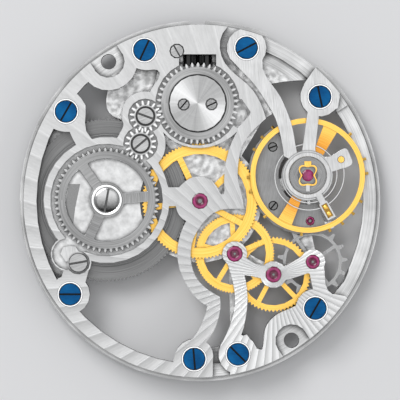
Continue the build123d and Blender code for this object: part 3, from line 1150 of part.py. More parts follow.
def centre_arbor():
    pinion = gear(CENTRE_AXIS, CENTRE_PINION_LEAVES, BARREL_MODULE, CENTRE_PINION_PHASE,
                  CENTRE_PINION_BOTTOM, CENTRE_PINION_TOP, form=FINE_TOOTH_SHARES)
    lower = TRAIN_ARBOR_RADIUS + CENTRE_PIVOT_RADIUS
    collar = BRIDGE_TOP - JEWEL_THICKNESS - SEAT_GAP
    return pinion + stepped_arbor(CENTRE_AXIS, [
        (CENTRE_BORE_RADIUS, -CANNON_PIPE_LENGTH, FLOOR_TOP - JEWEL_THICKNESS),
        (lower, FLOOR_TOP - JEWEL_THICKNESS, CENTRE_PINION_BOTTOM),
        (TRAIN_HUB_RADIUS, CENTRE_PINION_TOP, CENTRE_TOP),
        (CENTRE_BORE_RADIUS, CENTRE_TOP, collar),
        (CENTRE_PIVOT_RADIUS, collar, BRIDGE_TOP - SEAT_GAP)])


def train_arbor(axis, pinion_leaves, module, phase, pinion_bottom, pinion_top, wheel_bottom, wheel_top):
    """A pinion cut in one with its arbor and pivots, and the seat that its wheel is pressed on."""
    leaves = gear(axis, pinion_leaves, module, phase, pinion_bottom, pinion_top, form=FINE_TOOTH_SHARES)
    seat = TRAIN_HUB_RADIUS / 2
    low, high = min(wheel_bottom, pinion_bottom), max(wheel_top, pinion_top)
    lower_jewel_top = SEAT_GAP + JEWEL_THICKNESS + SEAT_GAP
    upper_jewel_bottom = TRAIN_TOP - JEWEL_THICKNESS - SEAT_GAP
    return leaves + stepped_arbor(axis, [
        (TRAIN_PIVOT_RADIUS, SEAT_GAP, lower_jewel_top),
        (TRAIN_ARBOR_RADIUS, lower_jewel_top, low),
        (seat, low, high),
        (TRAIN_ARBOR_RADIUS, high, upper_jewel_bottom),
        (TRAIN_PIVOT_RADIUS, upper_jewel_bottom, TRAIN_TOP - SEAT_GAP)])


def escape_wheel():
    """Fifteen club teeth round a slim rim with four spokes."""
    windows = spoke_windows(ESCAPE_AXIS, ESCAPE_HUB_RADIUS, ESCAPE_RIM_INNER_RADIUS, ESCAPE_SPOKES,
                            ESCAPE_SPOKE_ANGLE, ESCAPE_SPOKE_WIDTH)
    windows.append(bore_wire(ESCAPE_AXIS, TRAIN_HUB_RADIUS / 2))
    outline = toothed_outline(ESCAPE_AXIS, ESCAPE_TEETH, ESCAPE_TIP_RADIUS, ESCAPE_RIM_OUTER_RADIUS,
                              ESCAPE_TIP_ANGLE, ESCAPE_TOOTH_SHARES)
    return slab(Face(outline, windows), ESCAPE_BOTTOM, ESCAPE_TOP)


def stone_faces():
    """Plan of the entry and exit stones, each square to the wheel's rim."""
    line = bearing(ESCAPE_AXIS_PX, PALLET_AXIS_PX)
    near = ESCAPE_TIP_RADIUS + STONE_CLEARANCE
    return [bar(toward(ESCAPE_AXIS, line + side * PALLET_HALF_SPAN, near),
                toward(ESCAPE_AXIS, line + side * PALLET_HALF_SPAN, near + STONE_LENGTH), STONE_WIDTH)
            for side in (-1, 1)]


def pallet_fork():
    line = bearing(ESCAPE_AXIS_PX, PALLET_AXIS_PX)
    lever = bearing(PALLET_AXIS_PX, BALANCE_AXIS_PX)
    reach = distance(PALLET_AXIS_PX, BALANCE_AXIS_PX) - IMPULSE_PIN_ORBIT
    holder = ESCAPE_TIP_RADIUS + STONE_CLEARANCE + (STONE_PROUD + STONE_LENGTH) / 2
    face = disc(PALLET_AXIS, FORK_HUB_RADIUS)
    for side in (-1, 1):
        tip = toward(ESCAPE_AXIS, line + side * PALLET_HALF_SPAN, holder)
        face += bar(PALLET_AXIS, tip, FORK_ARM_WIDTH) + disc(tip, STONE_HOLDER_RADIUS)
    horn = toward(PALLET_AXIS, lever, reach + FORK_HORN_LENGTH / 2)
    root = toward(PALLET_AXIS, lever, reach - FORK_HORN_LENGTH / 2)
    face += bar(PALLET_AXIS, root, FORK_LEVER_WIDTH) + bar(root, horn, FORK_HORN_WIDTH)
    face -= bar(toward(PALLET_AXIS, lever, reach - FORK_NOTCH_DEPTH), horn, FORK_NOTCH_WIDTH)
    face -= opening(PALLET_AXIS, TRAIN_ARBOR_RADIUS)
    for stone in stone_faces():
        face -= stone
    return slab(face, FORK_BOTTOM, FORK_TOP)


def pallet_stones():
    return [slab(stone, FORK_BOTTOM, FORK_TOP) for stone in stone_faces()]


def pallet_arbor():
    upper = PALLET_BRIDGE_TOP - PALLET_JEWEL_THICKNESS - SEAT_GAP
    lower = 2 * SEAT_GAP + PALLET_JEWEL_THICKNESS
    return stepped_arbor(PALLET_AXIS, [
        (TRAIN_PIVOT_RADIUS, SEAT_GAP, lower),
        (TRAIN_ARBOR_RADIUS, lower, upper),
        (TRAIN_PIVOT_RADIUS, upper, PALLET_BRIDGE_TOP - SEAT_GAP)])


def balance_wheel():
    rim = true_disc(BALANCE_AXIS, BALANCE_RIM_OUTER_RADIUS) - true_disc(BALANCE_AXIS, BALANCE_RIM_INNER_RADIUS)
    wheel = slab(rim, BALANCE_RIM_BOTTOM, BALANCE_RIM_TOP)
    middle = (BALANCE_RIM_OUTER_RADIUS + BALANCE_RIM_INNER_RADIUS) / 2
    narrow, wide = BALANCE_ARM_HUB_WIDTH / 2, BALANCE_ARM_RIM_WIDTH / 2
    arms = disc(BALANCE_AXIS, BALANCE_HUB_RADIUS)
    for angle in (BALANCE_ARM_ANGLE, BALANCE_ARM_ANGLE + 180):
        far = toward(BALANCE_AXIS, angle, middle)
        corners = [toward(BALANCE_AXIS, angle + 90, narrow), toward(BALANCE_AXIS, angle - 90, narrow),
                   toward(far, angle - 90, wide), toward(far, angle + 90, wide)]
        arms += make_face(Polyline(*corners, close=True))
    arms -= opening(BALANCE_AXIS, STAFF_RADIUS)
    return wheel + slab(arms, BALANCE_ARM_BOTTOM, BALANCE_ARM_BOTTOM + BALANCE_ARM_THICKNESS)


def balance_screw_angles():
    return [BALANCE_ARM_ANGLE + half + offset for half in (0, 180) for offset in BALANCE_SCREW_OFFSETS]


def balance_screws():
    """Timing screws round the rim, each standing out along its own radius."""
    height = (BALANCE_RIM_BOTTOM + BALANCE_RIM_TOP) / 2
    section = RegularPolygon(BALANCE_SCREW_RADIUS, BALANCE_SCREW_SIDES)
    made = []
    for angle in balance_screw_angles():
        x, y = toward(BALANCE_AXIS, angle, BALANCE_RIM_OUTER_RADIUS)
        outward = Pos(x, y, height) * Rot(0, 0, angle) * Rot(0, 90, 0)
        made.append(outward * extrude(section, amount=BALANCE_SCREW_PROUD))
    return made


def balance_staff():
    upper = UPPER_SHOCK_TOP - CAP_JEWEL_THICKNESS
    lower = LOWER_SHOCK_BOTTOM + CAP_JEWEL_THICKNESS
    return stepped_arbor(BALANCE_AXIS, [
        (STAFF_PIVOT_RADIUS, lower, lower + CAP_JEWEL_THICKNESS + SEAT_GAP),
        (STAFF_RADIUS, lower + CAP_JEWEL_THICKNESS + SEAT_GAP, upper - CAP_JEWEL_THICKNESS - SEAT_GAP),
        (STAFF_PIVOT_RADIUS, upper - CAP_JEWEL_THICKNESS - SEAT_GAP, upper)])


def roller():
    return slab(ring(BALANCE_AXIS, ROLLER_RADIUS, STAFF_RADIUS), ROLLER_BOTTOM, ROLLER_TOP)


def impulse_pin():
    place = toward(BALANCE_AXIS, bearing(BALANCE_AXIS_PX, PALLET_AXIS_PX), IMPULSE_PIN_ORBIT)
    return rod(place, IMPULSE_PIN_RADIUS, FORK_BOTTOM, ROLLER_BOTTOM)


def collet():
    return slab(ring(BALANCE_AXIS, COLLET_RADIUS, STAFF_RADIUS), HAIRSPRING_BOTTOM, HAIRSPRING_BOTTOM + COLLET_HEIGHT)


STUD_ORBIT = distance(BALANCE_AXIS_PX, STUD_PX)
STUD_ANGLE = bearing(BALANCE_AXIS_PX, STUD_PX)
HAIRSPRING_INNER = COLLET_RADIUS + HAIRSPRING_BLADE
HAIRSPRING_PITCH = (STUD_ORBIT - HAIRSPRING_INNER) / HAIRSPRING_TURNS


def hairspring_arc(half_turn, side):
    """Points of one half turn of the blade's edge; side is -1 for the inner edge and 1 for the outer."""
    shift = HAIRSPRING_PITCH / 4 * (-1 if half_turn % 2 == 0 else 1)
    centre = toward(BALANCE_AXIS, STUD_ANGLE, shift)
    radius = HAIRSPRING_INNER + HAIRSPRING_PITCH / 4 + half_turn * HAIRSPRING_PITCH / 2 + side * HAIRSPRING_BLADE / 2
    first = STUD_ANGLE + 180 * half_turn
    return [toward(centre, first + 180 * i / HAIRSPRING_CHORDS, radius) for i in range(HAIRSPRING_CHORDS + 1)]


def hairspring_edge(side):
    edge = hairspring_arc(0, side)
    for half in range(1, 2 * HAIRSPRING_TURNS):
        edge += hairspring_arc(half, side)[1:]
    return edge


def hairspring():
    """A flat blade wound outwards from the collet to the stud in one unbroken spiral."""
    outline = hairspring_edge(1) + hairspring_edge(-1)[::-1]
    blade = slab(make_face(Polyline(*outline, close=True)), HAIRSPRING_BOTTOM, HAIRSPRING_TOP)
    return blade - bore(at(STUD_PX), STUD_RADIUS, 0, BRIDGE_TOP)


def hairspring_least_gap():
    """Least clear distance between neighbouring turns, measured on points of both edges."""
    least = STUD_ORBIT
    for half in range(2 * HAIRSPRING_TURNS - 2):
        for outer in hairspring_arc(half, 1):
            for inner in hairspring_arc(half + 2, -1):
                least = min(least, math.dist(outer, inner))
    return least


def regulator_angle_radius():
    """Radius of the outer turn where the curb pins hold it."""
    back = (STUD_ANGLE - CURB_ANGLE) % 360
    return STUD_ORBIT - HAIRSPRING_PITCH * back / 360


def stud_carrier():
    face = ring(BALANCE_AXIS, CARRIER_OUTER_RADIUS, SHOCK_BLOCK_RADIUS + RUNNING_FIT)
    arm = bar(toward(BALANCE_AXIS, STUD_ANGLE, CARRIER_OUTER_RADIUS - 2 * SIDE_GAP), at(STUD_PX), CARRIER_ARM_WIDTH)
    face += arm + disc_at(STUD_PX, STUD_EYE_RADIUS)
    face -= opening(at(STUD_PX), STUD_RADIUS)
    return slab(face, CARRIER_BOTTOM, CARRIER_TOP)


def stud():
    return rod(at(STUD_PX), STUD_RADIUS, HAIRSPRING_BOTTOM - SEAT_GAP, CARRIER_TOP + SEAT_GAP)


def regulator():
    radius = regulator_angle_radius()
    outer = radius + HAIRSPRING_BLADE / 2 + CURB_PIN_GAP + 4 * CURB_PIN_RADIUS
    face = ring(BALANCE_AXIS, REGULATOR_OUTER_RADIUS, SHOCK_BLOCK_RADIUS + RUNNING_FIT)
    start = toward(BALANCE_AXIS, CURB_ANGLE, REGULATOR_OUTER_RADIUS - 2 * SIDE_GAP)
    face += bar(start, toward(BALANCE_AXIS, CURB_ANGLE, outer), REGULATOR_ARM_WIDTH)
    return slab(face, REGULATOR_BOTTOM, REGULATOR_TOP)


def curb_pins():
    """Two pins hanging from the regulator, one on each side of the outer turn."""
    radius = regulator_angle_radius()
    offset = HAIRSPRING_BLADE / 2 + CURB_PIN_GAP + CURB_PIN_RADIUS
    return [rod(toward(BALANCE_AXIS, CURB_ANGLE, radius + side * offset), CURB_PIN_RADIUS,
                HAIRSPRING_BOTTOM - SEAT_GAP, REGULATOR_BOTTOM) for side in (-1, 1)]


def barrel_drum():
    floor_top = DRUM_BOTTOM + DRUM_BASE_THICKNESS
    cover_seat = DRUM_TOP - BARREL_COVER_THICKNESS
    drum = rod(BARREL_AXIS, DRUM_RADIUS, DRUM_BOTTOM, DRUM_TOP)
    drum += gear(BARREL_AXIS, BARREL_TEETH, BARREL_MODULE, 0, BARREL_TEETH_BOTTOM, BARREL_TEETH_TOP,
                 form=FINE_TOOTH_SHARES)
    drum -= bore(BARREL_AXIS, DRUM_RADIUS - DRUM_WALL, floor_top, DRUM_TOP + CUT_OVERRUN)
    drum -= bore(BARREL_AXIS, DRUM_RADIUS - DRUM_WALL + BARREL_COVER_SHOULDER, cover_seat, DRUM_TOP + CUT_OVERRUN)
    return drum - bore(BARREL_AXIS, ARBOR_LOWER_RADIUS + RUNNING_FIT, 0, DRUM_TOP)


def barrel_cover():
    outer = DRUM_RADIUS - DRUM_WALL + BARREL_COVER_SHOULDER
    return slab(ring(BARREL_AXIS, outer, ARBOR_UPPER_RADIUS + RUNNING_FIT), DRUM_TOP - BARREL_COVER_THICKNESS, DRUM_TOP)


def mainspring():
    """The coiled blade as it packs against the drum wall, with its inner end led in to the arbor."""
    low = DRUM_BOTTOM + DRUM_BASE_THICKNESS + SEAT_GAP
    high = DRUM_TOP - BARREL_COVER_THICKNESS - SEAT_GAP
    outer = DRUM_RADIUS - DRUM_WALL - RUNNING_FIT
    inner = outer - MAINSPRING_PACK_WIDTH
    near = ARBOR_CORE_RADIUS + SEAT_GAP
    rise = (inner - near + MAINSPRING_BLADE) / MAINSPRING_LEAD_STEPS
    steps = range(MAINSPRING_LEAD_STEPS + 1)
    inside = [toward(BARREL_AXIS, i * 360 / MAINSPRING_LEAD_STEPS, near + i * rise) for i in steps]
    outside = [toward(BARREL_AXIS, i * 360 / MAINSPRING_LEAD_STEPS, near + MAINSPRING_BLADE + i * rise) for i in steps]
    lead = make_face(Polyline(*inside, *outside[::-1], close=True))
    return slab(ring(BARREL_AXIS, outer, inner) + lead, low, high)


def barrel_arbor():
    core_low = DRUM_BOTTOM + DRUM_BASE_THICKNESS + SEAT_GAP
    core_high = DRUM_TOP - BARREL_COVER_THICKNESS - SEAT_GAP
    square = Pos(BARREL_AXIS[0], BARREL_AXIS[1]) * Rectangle(ARBOR_SQUARE, ARBOR_SQUARE)
    return stepped_arbor(BARREL_AXIS, [
        (ARBOR_LOWER_RADIUS, SEAT_GAP, core_low),
        (ARBOR_CORE_RADIUS, core_low, core_high),
        (ARBOR_UPPER_RADIUS, core_high, WINDING_BOTTOM)]) + slab(square, WINDING_BOTTOM, WINDING_TOP)


def ratchet_wheel():
    windows = spoke_windows(BARREL_AXIS, RATCHET_HUB_RADIUS, RATCHET_WINDOW_RADIUS, RATCHET_SPOKES,
                            RATCHET_SPOKE_ANGLE, RATCHET_SPOKE_WIDTH)
    square = Pos(BARREL_AXIS[0], BARREL_AXIS[1]) * Rectangle(ARBOR_SQUARE, ARBOR_SQUARE)
    windows.append(square.face().outer_wire())
    return gear(BARREL_AXIS, RATCHET_TEETH, RATCHET_MODULE, 0, WINDING_BOTTOM, WINDING_TOP, windows,
                FINE_TOOTH_SHARES)


def ratchet_screw():
    return slotted_head(BARREL_AXIS, WINDING_TOP + SMALL_HEAD_HEIGHT, RATCHET_SCREW_RADIUS, SMALL_HEAD_HEIGHT,
                        RATCHET_SLOT_ANGLE)


def crown_wheel():
    return gear(CROWN_AXIS, CROWN_TEETH, CROWN_MODULE, CROWN_PHASE, WINDING_BOTTOM, WINDING_TOP,
                [bore_wire(CROWN_AXIS, CROWN_BORE_RADIUS)])


def crown_core():
    core = rod(CROWN_AXIS, CROWN_BORE_RADIUS - RUNNING_FIT, RECESS_FLOOR, WINDING_TOP + PIVOT_FIT)
    core += rod(CROWN_AXIS, CROWN_CAP_RADIUS, WINDING_TOP + PIVOT_FIT, CROWN_CAP_TOP)
    for point in CROWN_SCREW_PX:
        core -= bore(at(point), SMALL_SHANK_RADIUS, 0, BRIDGE_TOP + CUT_OVERRUN)
        core -= bore(at(point), CROWN_SCREW_RADIUS + SEAT_GAP, CROWN_CAP_TOP - CROWN_SCREW_HEAD_HEIGHT,
                     CROWN_CAP_TOP + CUT_OVERRUN)
    return core


def crown_screws():
    return [screw(at(p), CROWN_CAP_TOP, CROWN_SCREW_RADIUS, CROWN_SCREW_HEAD_HEIGHT, SMALL_SHANK_RADIUS,
                  BRIDGE_POCKET_TOP, angle) for p, angle in zip(CROWN_SCREW_PX, CROWN_SCREW_SLOT_ANGLES)]


def transfer_wheel(axis, phase):
    return gear(axis, TRANSFER_TEETH, TRANSFER_MODULE, phase, WINDING_BOTTOM, WINDING_TOP,
                [bore_wire(axis, TRANSFER_POST_RADIUS + RUNNING_FIT)], BROAD_TOOTH_SHARES)


def transfer_screws():
    made = []
    for axis, angle in zip((FIRST_TRANSFER_AXIS, SECOND_TRANSFER_AXIS), TRANSFER_SLOT_ANGLES):
        head = slotted_head(axis, WINDING_TOP + PIVOT_FIT + SMALL_HEAD_HEIGHT, TRANSFER_SCREW_RADIUS,
                            SMALL_HEAD_HEIGHT, angle)
        made.append(head + rod(axis, TRANSFER_POST_RADIUS, RECESS_FLOOR, WINDING_TOP + PIVOT_FIT)
                    + rod(axis, SMALL_SHANK_RADIUS, BRIDGE_SEAT, RECESS_FLOOR))
    return made


def click():
    face = disc(CLICK_AXIS, CLICK_BODY_RADIUS) + polygon(CLICK_BEAK_PX)
    face -= opening(CLICK_AXIS, TRANSFER_POST_RADIUS + RUNNING_FIT)
    face -= opening(BARREL_AXIS, RATCHET_TIP_RADIUS - SEAT_GAP)
    return slab(face, WINDING_BOTTOM, WINDING_BOTTOM + CLICK_THICKNESS)


def click_screw():
    top = WINDING_BOTTOM + CLICK_THICKNESS + PIVOT_FIT
    head = slotted_head(CLICK_AXIS, top + SMALL_HEAD_HEIGHT, CLICK_SCREW_RADIUS, SMALL_HEAD_HEIGHT, CLICK_SLOT_ANGLE)
    shank = rod(CLICK_AXIS, SMALL_SHANK_RADIUS, BRIDGE_SEAT, RECESS_FLOOR)
    return head + rod(CLICK_AXIS, TRANSFER_POST_RADIUS, RECESS_FLOOR, top) + shank


def click_spring_face():
    return polygon(CLICK_SPRING_PX)


def click_spring():
    return slab(click_spring_face(), RECESS_FLOOR - CLICK_SPRING_THICKNESS, RECESS_FLOOR)


def stem_cylinder(radius, inner_y, outer_y):
    """A cylinder on the stem axis."""
    middle = (inner_y + outer_y) / 2
    return Pos(STEM_X, middle, STEM_AXIS_HEIGHT) * Rot(90, 0, 0) * Cylinder(radius, outer_y - inner_y)


def stem_sleeve(face, inner_y, outer_y):
    """A flat face drawn along the stem axis."""
    return Pos(STEM_X, outer_y, STEM_AXIS_HEIGHT) * Rot(90, 0, 0) * extrude(face, amount=outer_y - inner_y)


def stem_toothed(teeth, tip, root):
    """Plan of straight teeth round the stem's passage."""
    outline = toothed_outline((0, 0), teeth, tip, root, 90, POINTED_TOOTH_SHARES)
    return Face(outline) - opening((0, 0), STEM_BORE_RADIUS)


def winding_pinion():
    face = stem_toothed(WINDING_PINION_TEETH, WINDING_PINION_RADIUS, WINDING_PINION_ROOT_RADIUS)
    return stem_sleeve(face, PINION_INNER_Y, PINION_OUTER_Y)


def clutch():
    """Sliding pinion: a waisted sleeve, toothed at both ends, that the yoke moves."""
    toothed = stem_toothed(CLUTCH_TEETH, CLUTCH_RADIUS, CLUTCH_ROOT_RADIUS)
    waist = ring((0, 0), CLUTCH_GROOVE_RADIUS, STEM_BORE_RADIUS)
    groove_inner = (CLUTCH_INNER_Y + CLUTCH_OUTER_Y - CLUTCH_GROOVE_LENGTH) / 2
    groove_outer = groove_inner + CLUTCH_GROOVE_LENGTH
    sleeve = stem_sleeve(toothed, CLUTCH_INNER_Y, groove_inner) + stem_sleeve(waist, groove_inner, groove_outer)
    return sleeve + stem_sleeve(toothed, groove_outer, CLUTCH_OUTER_Y)


def cannon_pinion():
    """The pinion and pipe that carry the minute hand, whose seat is a true cylinder."""
    leaves = gear(CENTRE_AXIS, CANNON_LEAVES, MINUTE_MODULE, 0, DIAL_WHEEL_HIGH, DIAL_WHEEL_HIGH_TOP)
    pipe = rod(CENTRE_AXIS, CANNON_PIPE_RADIUS, -HOUR_PIPE_LENGTH, DIAL_WHEEL_HIGH)
    seat = slab(true_disc(CENTRE_AXIS, MINUTE_SEAT_RADIUS), -CANNON_PIPE_LENGTH, -HOUR_PIPE_LENGTH)
    return leaves + pipe + seat - bore(CENTRE_AXIS, CENTRE_BORE_RADIUS, -CANNON_PIPE_LENGTH - CUT_OVERRUN, FLOOR_TOP)


def hour_wheel():
    """The hour wheel and its pipe, whose outer wall is a true cylinder for the hour hand."""
    inner = CANNON_PIPE_RADIUS + RUNNING_FIT
    wheel = gear(CENTRE_AXIS, HOUR_TEETH, HOUR_MODULE, 0, DIAL_WHEEL_LOW, DIAL_WHEEL_LOW_TOP,
                 [bore_wire(CENTRE_AXIS, inner)], FINE_TOOTH_SHARES)
    pipe = true_disc(CENTRE_AXIS, HOUR_PIPE_RADIUS) - opening(CENTRE_AXIS, inner)
    return wheel + slab(pipe, -HOUR_PIPE_LENGTH, DIAL_WHEEL_LOW)


def minute_wheel():
    inner = MINUTE_POST_RADIUS + RUNNING_FIT
    wheel = gear(MINUTE_AXIS, MINUTE_TEETH, MINUTE_MODULE, MINUTE_PHASE, DIAL_WHEEL_HIGH, DIAL_WHEEL_HIGH_TOP,
                 [bore_wire(MINUTE_AXIS, inner)], FINE_TOOTH_SHARES)
    pinion = gear(MINUTE_AXIS, MINUTE_PINION_LEAVES, HOUR_MODULE, MINUTE_PINION_PHASE, DIAL_WHEEL_LOW,
                  DIAL_WHEEL_HIGH, [bore_wire(MINUTE_AXIS, inner)])
    return wheel + pinion


def setting_wheel(axis, phase):
    return gear(axis, SETTING_TEETH, MINUTE_MODULE, phase, DIAL_WHEEL_HIGH, DIAL_WHEEL_HIGH_TOP,
                [bore_wire(axis, SETTING_POST_RADIUS + RUNNING_FIT)], FINE_TOOTH_SHARES)


def yoke():
    face = polygon(YOKE_PX) + disc_at(YOKE_PIVOT_PX, YOKE_EYE_RADIUS)
    face -= opening(at(YOKE_PIVOT_PX), YOKE_POST_RADIUS + RUNNING_FIT)
    return slab(face, DIAL_FACE_GAP, DIAL_LEVER_TOP)


def yoke_spring():
    face = polygon(YOKE_SPRING_PX) + disc_at(YOKE_SPRING_FOOT_PX, YOKE_SPRING_FOOT_RADIUS)
    return slab(face, DIAL_FACE_GAP, DIAL_RECESS_DEPTH)


def setting_lever():
    lever = slab(polygon(SETTING_LEVER_PX), DIAL_FACE_GAP, DIAL_LEVER_TOP)
    lever += rod(at(SETTING_LEVER_STUD_PX), SETTING_LEVER_STUD_RADIUS, DIAL_LEVER_TOP, DIAL_RECESS_DEPTH)
    return lever - bore(at(SETTING_LEVER_SCREW_PX), SMALL_SHANK_RADIUS + RUNNING_FIT, 0, FLOOR_TOP)


def setting_lever_screw():
    top = BRIDGE_TOP + SCREW_PROUD
    return screw(at(SETTING_LEVER_SCREW_PX), top, LEVER_SCREW_RADIUS, top - BRIDGE_SEAT, SMALL_SHANK_RADIUS,
                 DIAL_FACE_GAP, SETTING_LEVER_SLOT_ANGLE)


def movement():
    """Every node of the movement by name; a list holds separate, identical pieces."""
    nodes = {
        "main_plate": main_plate(),
        "main_bridge": main_bridge(),
        "train_bridge": train_bridge(),
        "balance_bridge": balance_bridge(),
        "pallet_bridge": pallet_bridge(),
        "bridge_screws": blued_screws(MAIN_BRIDGE_SCREWS_PX, BRIDGE_TOP)
        + blued_screws(BALANCE_BRIDGE_SCREWS_PX, BRIDGE_TOP) + blued_screws(TRAIN_BRIDGE_SCREWS_PX, TRAIN_TOP),
        "pallet_bridge_screws": pallet_bridge_screws(),
        "setting_lever_screw": setting_lever_screw(),
        "train_jewels": upper_train_jewels() + lower_train_jewels(),
        "pallet_jewels": pallet_jewels(),
        "shock_blocks": [upper_shock_block(), lower_shock_block()],
        "balance_jewels": balance_jewels(),
        "shock_springs": [shock_spring(UPPER_SHOCK_TOP), shock_spring(LOWER_SHOCK_BOTTOM - SHOCK_SPRING_THICKNESS)],
        "barrel_drum": barrel_drum(),
        "barrel_cover": barrel_cover(),
        "mainspring": mainspring(),
        "barrel_arbor": barrel_arbor(),
        "ratchet_wheel": ratchet_wheel(),
        "ratchet_screw": ratchet_screw(),
        "crown_wheel": crown_wheel(),
        "crown_core": crown_core(),
        "crown_screws": crown_screws(),
        "first_transfer_wheel": transfer_wheel(FIRST_TRANSFER_AXIS, FIRST_TRANSFER_PHASE),
        "second_transfer_wheel": transfer_wheel(SECOND_TRANSFER_AXIS, SECOND_TRANSFER_PHASE),
        "transfer_screws": transfer_screws(),
        "click": click(),
        "click_screw": click_screw(),
        "click_spring": click_spring(),
        "winding_pinion": winding_pinion(),
        "clutch": clutch(),
        "centre_wheel": spoked_gear(CENTRE_AXIS, CENTRE_TEETH, CENTRE_MODULE, CENTRE_BOTTOM, CENTRE_WHEEL_THICKNESS,
                                    CENTRE_RIM_INNER_RADIUS, CENTRE_SPOKE_WIDTH, CENTRE_SPOKE_ANGLE,
                                    CENTRE_HUB_RADIUS, TRAIN_HUB_RADIUS),
        "centre_arbor": centre_arbor(),
        "third_wheel": spoked_gear(THIRD_AXIS, THIRD_TEETH, THIRD_MODULE, THIRD_BOTTOM, THIRD_WHEEL_THICKNESS,
                                   THIRD_RIM_INNER_RADIUS, THIRD_SPOKE_WIDTH, THIRD_SPOKE_ANGLE,
                                   TRAIN_HUB_RADIUS, TRAIN_HUB_RADIUS / 2),
        "third_arbor": train_arbor(THIRD_AXIS, THIRD_PINION_LEAVES, CENTRE_MODULE, THIRD_PINION_PHASE,
                                   THIRD_TOP, CENTRE_TOP + SEAT_GAP, THIRD_BOTTOM, THIRD_TOP),
        "fourth_wheel": spoked_gear(FOURTH_AXIS, FOURTH_TEETH, FOURTH_MODULE, FOURTH_BOTTOM,
                                    FOURTH_WHEEL_THICKNESS, FOURTH_RIM_INNER_RADIUS, FOURTH_SPOKE_WIDTH,
                                    FOURTH_SPOKE_ANGLE, TRAIN_HUB_RADIUS, TRAIN_HUB_RADIUS / 2),
        "fourth_arbor": train_arbor(FOURTH_AXIS, FOURTH_PINION_LEAVES, THIRD_MODULE, FOURTH_PINION_PHASE,
                                    FOURTH_TOP, THIRD_TOP + SEAT_GAP, FOURTH_BOTTOM, FOURTH_TOP),
        "escape_wheel": escape_wheel(),
        "escape_arbor": train_arbor(ESCAPE_AXIS, ESCAPE_PINION_LEAVES, FOURTH_MODULE, ESCAPE_PINION_PHASE,
                                    ESCAPE_TOP, FOURTH_TOP + SEAT_GAP, ESCAPE_BOTTOM, ESCAPE_TOP),
        "pallet_fork": pallet_fork(),
        "pallet_stones": pallet_stones(),
        "pallet_arbor": pallet_arbor(),
        "balance_wheel": balance_wheel(),
        "balance_screws": balance_screws(),
        "balance_staff": balance_staff(),
        "roller": roller(),
        "impulse_pin": impulse_pin(),
        "collet": collet(),
        "hairspring": hairspring(),
        "stud_carrier": stud_carrier(),
        "stud": stud(),
        "regulator": regulator(),
        "curb_pins": curb_pins(),
        "cannon_pinion": cannon_pinion(),
        "hour_wheel": hour_wheel(),
        "minute_wheel": minute_wheel(),
        "setting_wheel": setting_wheel(SETTING_AXIS, SETTING_PHASE),
        "intermediate_setting_wheel": setting_wheel(INTERMEDIATE_AXIS, INTERMEDIATE_PHASE),
        "yoke": yoke(),
        "yoke_spring": yoke_spring(),
        "setting_lever": setting_lever(),
    }
    return nodes


os.makedirs("parts", exist_ok=True)
for name, shape in movement().items():
    pieces = shape if isinstance(shape, list) else [shape]
    export_step(Compound([solid for piece in pieces for solid in piece.solids()]), f"parts/{name}.step")
print("hairspring least gap to itself, mm:", round(hairspring_least_gap(), 3))
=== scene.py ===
import json
import math

import bmesh
import bpy
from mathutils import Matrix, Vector

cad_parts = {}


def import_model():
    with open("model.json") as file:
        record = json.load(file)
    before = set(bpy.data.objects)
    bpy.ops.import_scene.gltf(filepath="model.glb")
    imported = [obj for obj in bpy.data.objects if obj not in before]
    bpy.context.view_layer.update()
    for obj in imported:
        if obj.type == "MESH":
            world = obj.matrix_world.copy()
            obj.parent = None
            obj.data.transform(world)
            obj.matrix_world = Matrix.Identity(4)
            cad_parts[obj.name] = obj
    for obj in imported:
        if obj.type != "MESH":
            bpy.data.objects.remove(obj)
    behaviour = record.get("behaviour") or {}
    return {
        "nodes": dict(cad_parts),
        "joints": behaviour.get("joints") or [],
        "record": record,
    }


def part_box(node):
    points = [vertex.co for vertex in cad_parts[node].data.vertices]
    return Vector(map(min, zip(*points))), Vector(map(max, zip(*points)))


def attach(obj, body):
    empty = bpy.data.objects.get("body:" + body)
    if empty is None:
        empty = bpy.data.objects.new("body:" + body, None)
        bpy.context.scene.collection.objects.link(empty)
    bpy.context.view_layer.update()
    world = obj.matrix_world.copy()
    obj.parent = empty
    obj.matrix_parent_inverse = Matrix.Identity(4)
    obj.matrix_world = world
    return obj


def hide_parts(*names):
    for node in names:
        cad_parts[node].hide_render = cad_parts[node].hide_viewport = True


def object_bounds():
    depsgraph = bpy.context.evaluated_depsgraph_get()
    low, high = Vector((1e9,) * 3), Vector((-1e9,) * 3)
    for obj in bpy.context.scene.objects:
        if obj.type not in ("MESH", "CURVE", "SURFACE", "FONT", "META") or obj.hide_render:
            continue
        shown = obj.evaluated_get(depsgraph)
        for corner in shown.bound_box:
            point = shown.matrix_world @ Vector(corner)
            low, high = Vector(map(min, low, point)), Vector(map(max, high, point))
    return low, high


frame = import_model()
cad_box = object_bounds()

# Metres in a millimetre. All sizes below are in millimetres unless a comment says otherwise
MM = 0.001

# The photograph: its width, the middle of the movement and its diameter, in pixels
PHOTO_WIDTH = 400
MOVEMENT_MIDDLE = (200, 201)
MOVEMENT_PIXELS = 362.4
MOVEMENT_DIAMETER = 26.8
PX = MOVEMENT_DIAMETER / MOVEMENT_PIXELS


def photo(x, y):
    """The place in plan of a point of the photograph, given in pixels."""
    return (x - MOVEMENT_MIDDLE[0]) * PX, (MOVEMENT_MIDDLE[1] - y) * PX


def axis(joint):
    """The place in plan of a joint's axis."""
    x, y, _ = next(row["pos_m"] for row in frame["joints"] if row["name"] == joint)
    return x / MM, y / MM


def levels(node):
    """The lowest and the highest level of a node."""
    low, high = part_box(node)
    return low[2] / MM, high[2] / MM


def body_of(node):
    """The body that carries a node."""
    return next(body for body, nodes in frame["record"]["behaviour"]["bodies"].items() if node in nodes)


